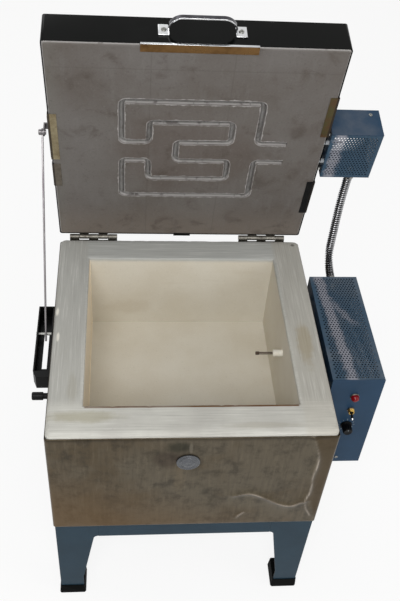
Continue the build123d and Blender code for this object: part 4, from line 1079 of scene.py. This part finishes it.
control_low, control_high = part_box("control_box_cover")
big = cover("control_cover", "control_box_cover", 100, 260, 276.6,
            lambda x, y, z: control_low + Vector((x, y, z)) * MM, "kiln")
small = cover("terminal_cover", "terminal_box_cover", 98, 65, 114.6,
              lambda x, y, z: on_lid(261 + x, 193 + 1.7 + y, z), "lid")
print("covers", len(big.data.polygons), "and", len(small.data.polygons), "faces")

# %% [markdown]
# ## The heating element
#
# The element is a coil of resistance wire that lies in a groove cut in the lid. A coil is a helix whose
# axis turns the same corners as the groove: first a path with rounded corners, then a thinner path that
# winds round it, then a tube along that. Each end leaves as a straight tail into the terminal box.

# %% The coil in its groove
NEAR = 25
MIDDLE = 258
COIL_UP = 11 - 0.3 - 3.8
STEPS = [(180, 1), (5 * NEAR, 1), (5 * NEAR, 5), (-5 * NEAR, 5), (-5 * NEAR, 1), (-3 * NEAR, 1),
         (-3 * NEAR, 3), (3 * NEAR, 3), (3 * NEAR, 1), (-NEAR, 1)]
route = [(x, MIDDLE + k * NEAR) for x, k in STEPS] + [(x, MIDDLE - k * NEAR) for x, k in reversed(STEPS)]
route = [Vector(p) for p in route]
TURN = 9.0
eased = [route[0]]
for before, here, after in zip(route, route[1:], route[2:]):
    back, forth = (before - here).normalized(), (after - here).normalized()
    centre = here + (back + forth) * TURN
    for k in range(7):
        a = radians(15 * k)
        eased.append(centre - forth * TURN * cos(a) - back * TURN * sin(a))
eased.append(route[-1])
core = spread([Vector((p.x, p.y, 0)) for p in eased], 0.32)
COIL_R, WIRE_R, COIL_PITCH = 3.1, 0.65, 2.6
wound = []
for n, here in enumerate(core[1:-1], 1):
    way = (core[n + 1] - core[n - 1]).normalized()
    across = Vector((-way.y, way.x, 0))
    angle = tau * n * 0.32 / COIL_PITCH
    wound.append(here + across * COIL_R * cos(angle) + Vector((0, 0, COIL_R * sin(angle))))
wound = [on_lid(p.x, p.y, COIL_UP + p.z) for p in wound]
coil = tube(wound, lambda n, share: WIRE_R * MM, 5)
tails = [
    tube([on_lid(176, s, COIL_UP + 1.5), on_lid(183, s, COIL_UP), on_lid(288, s, COIL_UP)], lambda n, share: 2.0 * MM, 12)
    for s in (MIDDLE - NEAR, MIDDLE + NEAR)
]
def groove_lip(side, name):
    """The crumbled lip on one side of the groove: a thin strip whose width changes as it goes."""
    along = [p for p in spread(core, 2.0)]
    rings = []
    for n, here in enumerate(along):
        way = (along[min(n + 1, len(along) - 1)] - along[max(n - 1, 0)]).normalized()
        out = Vector((-way.y, way.x, 0)) * side
        rough = noise.noise(here * 0.09 + Vector((side * 5, 0, 2))) + 0.6 * noise.noise(here * 0.45)
        wide = 0.9 + 2.4 * max(0, rough + 0.15)
        for aside, up in ((4.85, 1.5), (5.35, -0.16), (5.2 + wide, -0.12), (5.2 + wide, 0.4)):
            spot = here + out * aside
            rings.append(on_lid(spot.x, spot.y, up))
    strip = [(4 * n + k, 4 * n + (k + 1) % 4, 4 * n + 4 + (k + 1) % 4, 4 * n + 4 + k)
             for n in range(len(along) - 1) for k in range(4)]
    strip += [(0, 1, 2, 3), tuple(len(rings) - 4 + k for k in range(4))]
    return piece(name, rings, strip, worn_lip, "lid", "lid_firebrick", (), 50)


worn_lip = plain("worn_lip", rgb(152, 149, 147), rgb(96, 90, 86), 0.0, 0.95, 0.05, 70, 0.0002, Specular_IOR_Level=0.2)
groove_lip(-1, "groove_lip_outer")
groove_lip(1, "groove_lip_inner")
piece("element_coil", *joined(coil, *tails), element_wire, "lid", "element_wire", ["heating_element"], 60)
paint(element_wire, "element_staples")
print("coil of", round(len(core) * 0.32 / COIL_PITCH), "turns")

# %% [markdown]
# ## The ribbed conduit
#
# Flexible conduit is a steel strip wound into a tube, and each turn of the strip shows as a rib. The tube
# is drawn along the line from the start of the lesson with a radius that rises and falls at every rib.
# It crosses the hinge of the lid and is drawn once, as it lies with the lid open, with no body to ride on.

# %% The conduit
RIB = 5.0
close_path = spread(conduit_path, RIB / 6 * MM)
PROFILE = (-1.0, -0.8, 0.6, 2.2, 2.2, 0.4)
HOSE_SIDES = 24


def rib_radius(n, share):
    """The radius at a point of the tube: the strip climbs one rib for each turn round the tube."""
    step = (n + 6 * share) % 6
    low, part = int(step), step % 1
    return CONDUIT / 2 - (PROFILE[low % 6] * (1 - part) + PROFILE[(low + 1) % 6] * part) * MM


hose = piece("flexible_conduit", *tube(close_path, rib_radius, HOSE_SIDES), conduit_steel, None, "conduit_steel", ["conduit"])
# The gap faces between the ribs take the painted shade.
hose.data.materials.append(conduit_gap.material)
for face in hose.data.polygons:
    ring_number, side_number = divmod(face.index, HOSE_SIDES)
    phase = (ring_number + 0.5 + 6 * (side_number + 0.5) / HOSE_SIDES) % 6
    face.material_index = 1 if 2 < phase < 5 and len(face.vertices) == 4 else 0
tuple(conduit_points[0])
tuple(conduit_points[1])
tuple(conduit_points[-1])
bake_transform(hose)
print("conduit with", round(conduit_length / MM / RIB), "ribs")

# %% [markdown]
# ## Turned and fluted small pieces
#
# The controls and the peephole plug are what the eye goes to. Each is an outline turned round its axis:
# the plug has raised rings and a dimple, the lamp a domed red lens in a chromed bezel, the switch a
# threaded collar with a hexagonal nut and a bat-shaped lever. The knob's grip is fluted, so its outline is
# pushed in and out as it goes round.

# %% Plug, lamp, switch and knob
FRONT = (0, -1, 0)
plug_outline = [
    (-58, 0), (-58, 10.4), (-56, 11), (0, 12.4), (0, 20.4), (0.8, 21), (2.0, 21), (2.8, 20.2), (3.0, 18.8),
    (2.4, 17.8), (2.4, 16.6), (3.2, 15.8), (4.2, 15.0), (4.4, 13.8), (3.8, 12.8), (3.8, 11.6), (4.6, 10.6),
    (5.4, 8.6), (5.9, 6.0), (6.0, 4.0), (5.4, 3.0), (5.0, 1.6), (4.9, 0),
]
piece("plug", *turned(plug_outline, at(-7, -254.3, -80), FRONT, 64), plug_glaze, "plug", "plug_ceramic",
      ["peephole_plug"], 50)

front_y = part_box("control_box_base")[0].y
panel_x = 314


def on_panel(down_mm, out=0.0):
    """A place on the front plate of the control box."""
    here = at(panel_x, 0, -down_mm)
    here.y = front_y - out * MM
    return here


bezel = [(0, 8.9), (1.2, 8.9), (2.0, 8.6), (2.4, 8.2), (2.4, 7.8), (1.0, 7.8), (0, 7.8)]
piece("lamp_bezel", *turned(bezel, on_panel(62), FRONT, 40), old_zinc, "kiln", "chrome", ["pilot_lamp_bezel"])
lens = [(-3, 0), (-3, 6), (0.6, 6), (0.6, 7.8), (4.4, 7.8)]
lens += [(4.4 + 7 * sin(radians(a)), 7.8 * cos(radians(a))) for a in (12, 24, 36, 48, 60, 72, 82)] + [(11.4, 0)]
piece("lamp_lens", *turned(lens, on_panel(62), FRONT, 40), red_lens, "kiln", "red_lens", ["pilot_lamp_lens"], 60)

collar = [(-1.5, 0), (-1.5, 5.4)]
for k in range(9):
    collar += [(0.5 + k * 0.9, 5.4), (0.95 + k * 0.9, 5.9)]
collar += [(9, 5.5), (9, 3.7), (1, 3.7), (1, 0)]
nut = turned([(0, 5.4), (0, 7.2), (0.4, 7.6), (2.1, 7.6), (2.5, 7.2), (2.5, 5.4)], on_panel(101), FRONT, 6)
piece("switch_nut", *nut, old_zinc, "kiln", "zinc_steel")
body_block = turned([(-25.5, 0), (-25.5, 10), (-1.5, 10), (-1.5, 0)], on_panel(101), FRONT, 4)
piece("switch_collar", *joined(turned(collar, on_panel(101), FRONT, 36), body_block), brass, "kiln",
      "brass", ["power_switch_body"])
tilt = radians(16)
lever_way = Vector((0, -cos(tilt), -sin(tilt)))
pivot = on_panel(101, 4.5)
bat = [(-1.5, 0), (-1.5, 2.4), (0, 2.9), (1.2, 2.4), (2.2, 1.5), (6.5, 1.6), (11, 2.2), (15, 2.7)]
tip = [(15, 0), (15, 2.3), (16.2, 2.2), (17.6, 1.8), (18.4, 1.0), (18.8, 0)]
piece("lever_bat", *turned(bat + [(15, 0)], pivot, lever_way, 28), satin_black, "power_switch",
      "black_plastic", ["power_switch_lever"], 60)
piece("lever_tip", *turned(tip, pivot, lever_way, 28), chrome, "power_switch", "black_plastic", (), 60)


def fluted(outline, start, axis, sides=80, flutes=16, depth=0.9):
    """A turned piece whose widest part is fluted: points are (along, radius, share of the flutes' depth)."""
    points, faces = turned([(along, radius) for along, radius, _ in outline], start, axis, sides)
    axis = Vector(axis).normalized()
    number = 0
    for along, radius, share in outline:
        many = 1 if radius == 0 else sides
        for k in range(many):
            if share:
                centre = Vector(start) + axis * along * MM
                inwards = (centre - points[number + k]).normalized()
                wave = max(0, cos(tau * k * flutes / sides)) ** 0.7
                points[number + k] = points[number + k] + inwards * wave * depth * share * MM
        number += many
    return points, faces


grip = [(0, 0, 0), (0, 11.5, 0), (1.8, 11.5, 0), (2.5, 11.0, 0), (2.7, 9.6, 0), (3.4, 9.6, 1), (10, 9.4, 1),
        (17.4, 9.1, 1), (18.4, 8.6, 0.5), (19, 7.6, 0), (18.7, 6.4, 0), (18.7, 0, 0)]
shaft = turned([(-11, 0), (-11, 3), (0, 3), (0, 0)], on_panel(149, 0.6), FRONT, 24)
piece("knob_grip", *joined(fluted(grip, on_panel(149, 0.6), FRONT), shaft), black_plastic, "knob",
      "black_plastic", ["heat_knob"], 40)
mark_low = on_panel(149, 18.9)
mark = [mark_low + Vector((dx, dy, dz)) * MM for dy in (0, -0.6) for dx, dz in ((-0.4, 3), (0.4, 3), (0.4, 7), (-0.4, 7))]
piece("knob_mark", mark, lap_faces, dial_print, "knob", "black_plastic")
DIAL_STEPS = 11
ticks = []
for k in range(DIAL_STEPS):
    angle = radians(-150 + 300 * k / (DIAL_STEPS - 1))
    out_way, side_way = Vector((sin(angle), 0, cos(angle))), Vector((cos(angle), 0, -sin(angle)))
    half, inner, outer = (0.55, 13.6, 18.2) if k % 5 == 0 else (0.4, 14, 16.8)
    ticks.append((
        [on_panel(149, lift) + (out_way * far + side_way * aside) * MM
         for lift in (-0.1, 0.12) for far, aside in ((inner, -half), (inner, half), (outer, half), (outer, -half))],
        lap_faces))
piece("dial_ticks", *joined(*ticks), dial_print, "kiln", "box_paint")
print("controls made")

# %% [markdown]
# ## Screws
#
# A screw is small, but a missing slot is noticed. The head is a low dome with a cross cut into it. The dome
# is made of rings, and every point that lies in one of the two slots is pushed down.

# %% Screw heads
def screw(start, axis, radius, height, slot_width=0.32):
    """A domed head with a cross recess, as (points, faces)."""
    axis, side, other = frame_of(axis)
    rings, sides = [1.0, 0.97, 0.85, 0.72, 0.6, 0.45, 0.3, 0.15], 32
    points, faces = [], []
    for n, share in enumerate(rings):
        rise = height * (0 if n == 0 else (1 - share ** 2) ** 0.5 * 0.75 + 0.25)
        for k in range(sides):
            u, v = share * cos(tau * k / sides), share * sin(tau * k / sides)
            sunk = min(abs(u), abs(v)) < slot_width / 2 and max(abs(u), abs(v)) < 0.66
            depth = height * 0.5 if sunk and 0 < n else 0
            points.append(Vector(start) + (side * u + other * v) * radius * MM + axis * (rise - depth) * MM)
    for n in range(len(rings) - 1):
        for k in range(sides):
            j = (k + 1) % sides
            faces.append((n * sides + k, n * sides + j, (n + 1) * sides + j, (n + 1) * sides + k))
    faces.append(tuple((len(rings) - 1) * sides + k for k in range(sides)))
    faces.append(tuple(range(sides)))
    return points, faces


back_y = 256
body_heads, lid_heads = [], []
for middle_x in (-184, 173):
    for step in (-1, 0, 1):
        out = 40 * (0.78 if step == 0 else 0.55)
        body_heads.append(screw(at(middle_x + step * 32, back_y, -out), (0, 1, 0), 3.8, 1.9))
        place = lid_turn(at(middle_x + step * 32, back_y, out))
        lid_heads.append(screw(place, lid_way(0, -1, 0), 3.8, 1.9))
rear_y = (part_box("control_box_base")[1].y - middle.y) / MM
for x, y, z, way in ((314, (front_y - middle.y) / MM, -258.5, -1), (314, rear_y, -258.5, 1), (278, rear_y, -30.5, 1)):
    body_heads.append(screw(at(x, y, z), (0, way, 0), 3.6, 1.8))
for side_way in (-1, 1):
    x = 7 + side_way * (73 - 17 * 0.55)
    lid_heads.append(screw(on_lid(x, 508 + 3.2, 32.5), lid_way(0, 1, 0), 4.6, 2.3))
for s, way in ((311, 1), (193, -1)):
    lid_heads.append(screw(on_lid(341, s, 52.2), lid_way(0, way, 0), 3.6, 1.8))
piece("body_screw_heads", *joined(*body_heads), zinc, "kiln", "zinc_steel", ["body_screws"], 30)
piece("lid_screw_heads", *joined(*lid_heads), zinc, "lid", "zinc_steel", ["lid_screws"], 30)
print(len(body_heads) + len(lid_heads), "screws")

# %% [markdown]
# ## The handle and the clip above the mouth
#
# The handle is a chromed strap: two feet on the band and a slim loop for the fingers. Its broad faces
# get a darkened copy of the chrome as painted shade and its narrow edges the bright chrome as a painted
# highlight, so the two kinds of face get two finishes. The clip beside it is a strip of browned sheet
# whose folded edge gets the bright chrome as a painted highlight.

# %% Handle and front clip
GRIP_RISE, GRIP_WIDE, GRIP_THICK, GRIP_BEND = 30, 9, 3, 23
HANDLE_X, HANDLE_HALF, FOOT = 7, 73, 17
lid_front_back = 508
lid_middle_up = 32.5


def strap_path():
    """The middle line of the loop, as (across, forward) in millimetres."""
    reach, top = HANDLE_HALF - FOOT, GRIP_RISE - GRIP_THICK / 2
    path = [(-reach, 0.4), (-reach, top - GRIP_BEND)]
    for k in range(1, 13):
        a = radians(7.5 * k)
        path.append((-reach + GRIP_BEND * (1 - cos(a)), top - GRIP_BEND + GRIP_BEND * sin(a)))
    return path + [(-across, forward) for across, forward in reversed(path)]


strap, strap_faces = [], []
line = [Vector(p) for p in strap_path()]
for n, here in enumerate(line):
    way = (line[min(n + 1, len(line) - 1)] - line[max(n - 1, 0)]).normalized()
    out = Vector((-way.y, way.x)) * GRIP_THICK / 2
    for edge, up in ((out, GRIP_WIDE / 2), (out, -GRIP_WIDE / 2), (-out, -GRIP_WIDE / 2), (-out, GRIP_WIDE / 2)):
        strap.append(on_lid(HANDLE_X + here.x + edge.x, lid_front_back + here.y + edge.y, lid_middle_up + up))
for n in range(len(line) - 1):
    strap_faces += [(4 * n + k, 4 * n + (k + 1) % 4, 4 * n + 4 + (k + 1) % 4, 4 * n + 4 + k) for k in range(4)]
strap_faces += [(0, 1, 2, 3), tuple(len(strap) - 4 + k for k in range(4))]
grip_loop = piece("handle_loop", strap, strap_faces, shaded_chrome, "lid", "chrome", ["lid_handle"], 40)
# Painted shade and highlight: broad faces take the darkened chrome, narrow edges the bright chrome.
grip_loop.data.materials.append(chrome.material)
for face in grip_loop.data.polygons:
    face.material_index = face.index % 4 % 2
ease(grip_loop, 0.7, 3)


def slab(x0, x1, far0, far1, up0, up1):
    """A block on the lid: across, from the back edge, and up from the underside."""
    corners = [(x0, far0), (x1, far0), (x1, far1), (x0, far1)]
    return [on_lid(x, far, up) for up in (up0, up1) for x, far in corners], lap_faces


feet = []
for side_way in (-1, 1):
    x0, x1 = sorted((HANDLE_X + side_way * (HANDLE_HALF - FOOT - 1.5), HANDLE_X + side_way * HANDLE_HALF))
    feet.append(slab(x0, x1, lid_front_back, lid_front_back + 3.2, 20, 45))
ease(piece("handle_feet", *joined(*feet), chrome, "lid", "chrome"), 0.9, 3)
strip = slab(2 - 97, 2 + 97, 508 - 15.5, 509, -1, 0)
ease(piece("front_clip_strip", *strip, tan_sheet, "lid", "clip_sheet", ["front_clip"]), 0.2)
# Painted highlight: the clip's folded edge is bright chrome.
fold = slab(2 - 97, 2 + 97, 508, 509.2, -1.2, 3.0)
ease(piece("front_clip_fold", *fold, chrome, "lid", "clip_sheet"), 0.4)
print("handle and front clip made")

# %% [markdown]
# ## The solids that only need a finish
#
# The legs, rails, boxes, hinges, band and stay already have their shape. They get their finish,
# and small rounded edges from a bevel modifier, because no real edge is perfectly sharp and a rounded
# one draws a thin line of light.

# %% Finishing the solids
def finish_solids(finish, width, *nodes, segments=2):
    paint(finish, *nodes)
    for name in nodes:
        ease(frame["nodes"][name], width, segments)


finish_solids(stand_enamel, 0.8, *[n for n in frame["nodes"] if n.startswith("stand_")])
finish_solids(rubber, 1.6, "rubber_boots", segments=3)
finish_solids(zinc, 0.3, "rail_bolts", "control_box_standoffs", "terminal_box_standoffs",
              "guide_cross_pin", "conduit_connector_low",
              "conduit_connector_top")
finish_solids(stay_zinc, 0.3, "stay_arm", "stay_bracket", "stay_pivot_pin")
finish_solids(old_zinc, 0.25, "hinge_body_leaves", "hinge_lid_leaves", "hinge_pins")
finish_solids(satin_black, 0.5, "guide_channel", "side_peg")
finish_solids(side_clips, 0.2, "edge_clips")
finish_solids(box_enamel, 0.5, "control_box_base", "terminal_box_base")
finish_solids(band_black, 0.6, "lid_band", segments=3)
finish_solids(lid_steel, 0.2, "lid_top_sheet")
finish_solids(lid_coat, 0.9, "lid_brick")
finish_solids(black_plastic, 0.5, "mains_gland", "power_relay", "heat_regulator")
finish_solids(white_ceramic, 0.4, "thermocouple_sheath")
finish_solids(bushing_ceramic, 0.4, "element_bushings")
finish_solids(probe_wire, 0.2, "thermocouple_wires")
print(len(frame["nodes"]), "solids in the frame")

# %% [markdown]
# ## Light and floor
#
# The photograph's flash was near the camera, so the light is broad, soft and from the front. A large
# lamp above the camera's shoulder does that, a weaker one fills from the right, and the sky gives the
# rest. The camera and shiny metal see a white surround, while the sky that lights the kiln is dimmer, and
# the floor keeps the kiln's soft shadow.

# %% The studio
world = bpy.data.worlds.new("studio")
bpy.context.scene.world = world
world.use_nodes = True
sky = world.node_tree.nodes["Background"]


def seen_directly(tree):
    """1 for what the camera, gloss and glass see, and 0 for the light that falls on things."""
    rays = tree.nodes.new("ShaderNodeLightPath")
    total = rays.outputs["Is Camera Ray"]
    for kind in ("Is Glossy Ray", "Is Transmission Ray"):
        most = tree.nodes.new("ShaderNodeMath")
        most.operation = "MAXIMUM"
        tree.links.new(total, most.inputs[0])
        tree.links.new(rays.outputs[kind], most.inputs[1])
        total = most.outputs[0]
    return total


level_node = world.node_tree.nodes.new("ShaderNodeMapRange")
level_node.inputs["To Min"].default_value = 0.5
level_node.inputs["To Max"].default_value = 1.0
world.node_tree.links.new(seen_directly(world.node_tree), level_node.inputs["Value"])
world.node_tree.links.new(level_node.outputs[0], sky.inputs["Strength"])
sky.inputs["Color"].default_value = (1, 1, 1, 1)


def lamp(name, place, target, size, watts):
    """A square soft lamp that faces a point."""
    data = bpy.data.lights.new(name, "AREA")
    data.shape, data.size, data.energy = "SQUARE", size, watts
    made = bpy.data.objects.new(name, data)
    made.location = place
    made.rotation_euler = (Vector(target) - Vector(place)).to_track_quat("-Z", "Y").to_euler()
    bpy.context.scene.collection.objects.link(made)
    return made


lamp("key", (-0.4, -2.0, 2.7), (0, 0, 0.5), 1.2, 44)
lamp("fill", (2.0, -1.2, 1.6), (0, 0, 0.5), 1.6, 8)
lamp("low", (0.5, -2.6, 0.9), (0, 0, 0.4), 0.7, 9)
lamp("back", (-0.6, 2.2, 2.4), (0, 0.1, 0.7), 1.6, 14)

floor_finish = Finish("studio_floor", Base_Color=(0.86, 0.86, 0.85), Roughness=0.9)
tree = floor_finish.tree
emission = tree.nodes.new("ShaderNodeEmission")
mixer = tree.nodes.new("ShaderNodeMixShader")
share = tree.nodes.new("ShaderNodeMath")
share.operation = "MULTIPLY"
share.inputs[1].default_value = 0.85
tree.links.new(seen_directly(tree), share.inputs[0])
tree.links.new(share.outputs[0], mixer.inputs[0])
tree.links.new(floor_finish.shader.outputs[0], mixer.inputs[1])
tree.links.new(emission.outputs[0], mixer.inputs[2])
tree.links.new(mixer.outputs[0], tree.nodes["Material Output"].inputs["Surface"])
floor_data = bpy.data.meshes.new("floor")
floor_data.from_pydata([(-9, -9, 0), (9, -9, 0), (9, 9, 0), (-9, 9, 0)], [], [(0, 1, 2, 3)])
floor = bpy.data.objects.new("floor", floor_data)
floor_data.materials.append(floor_finish.material)
bpy.context.scene.collection.objects.link(floor)
bpy.context.scene.view_settings.view_transform = "Standard"
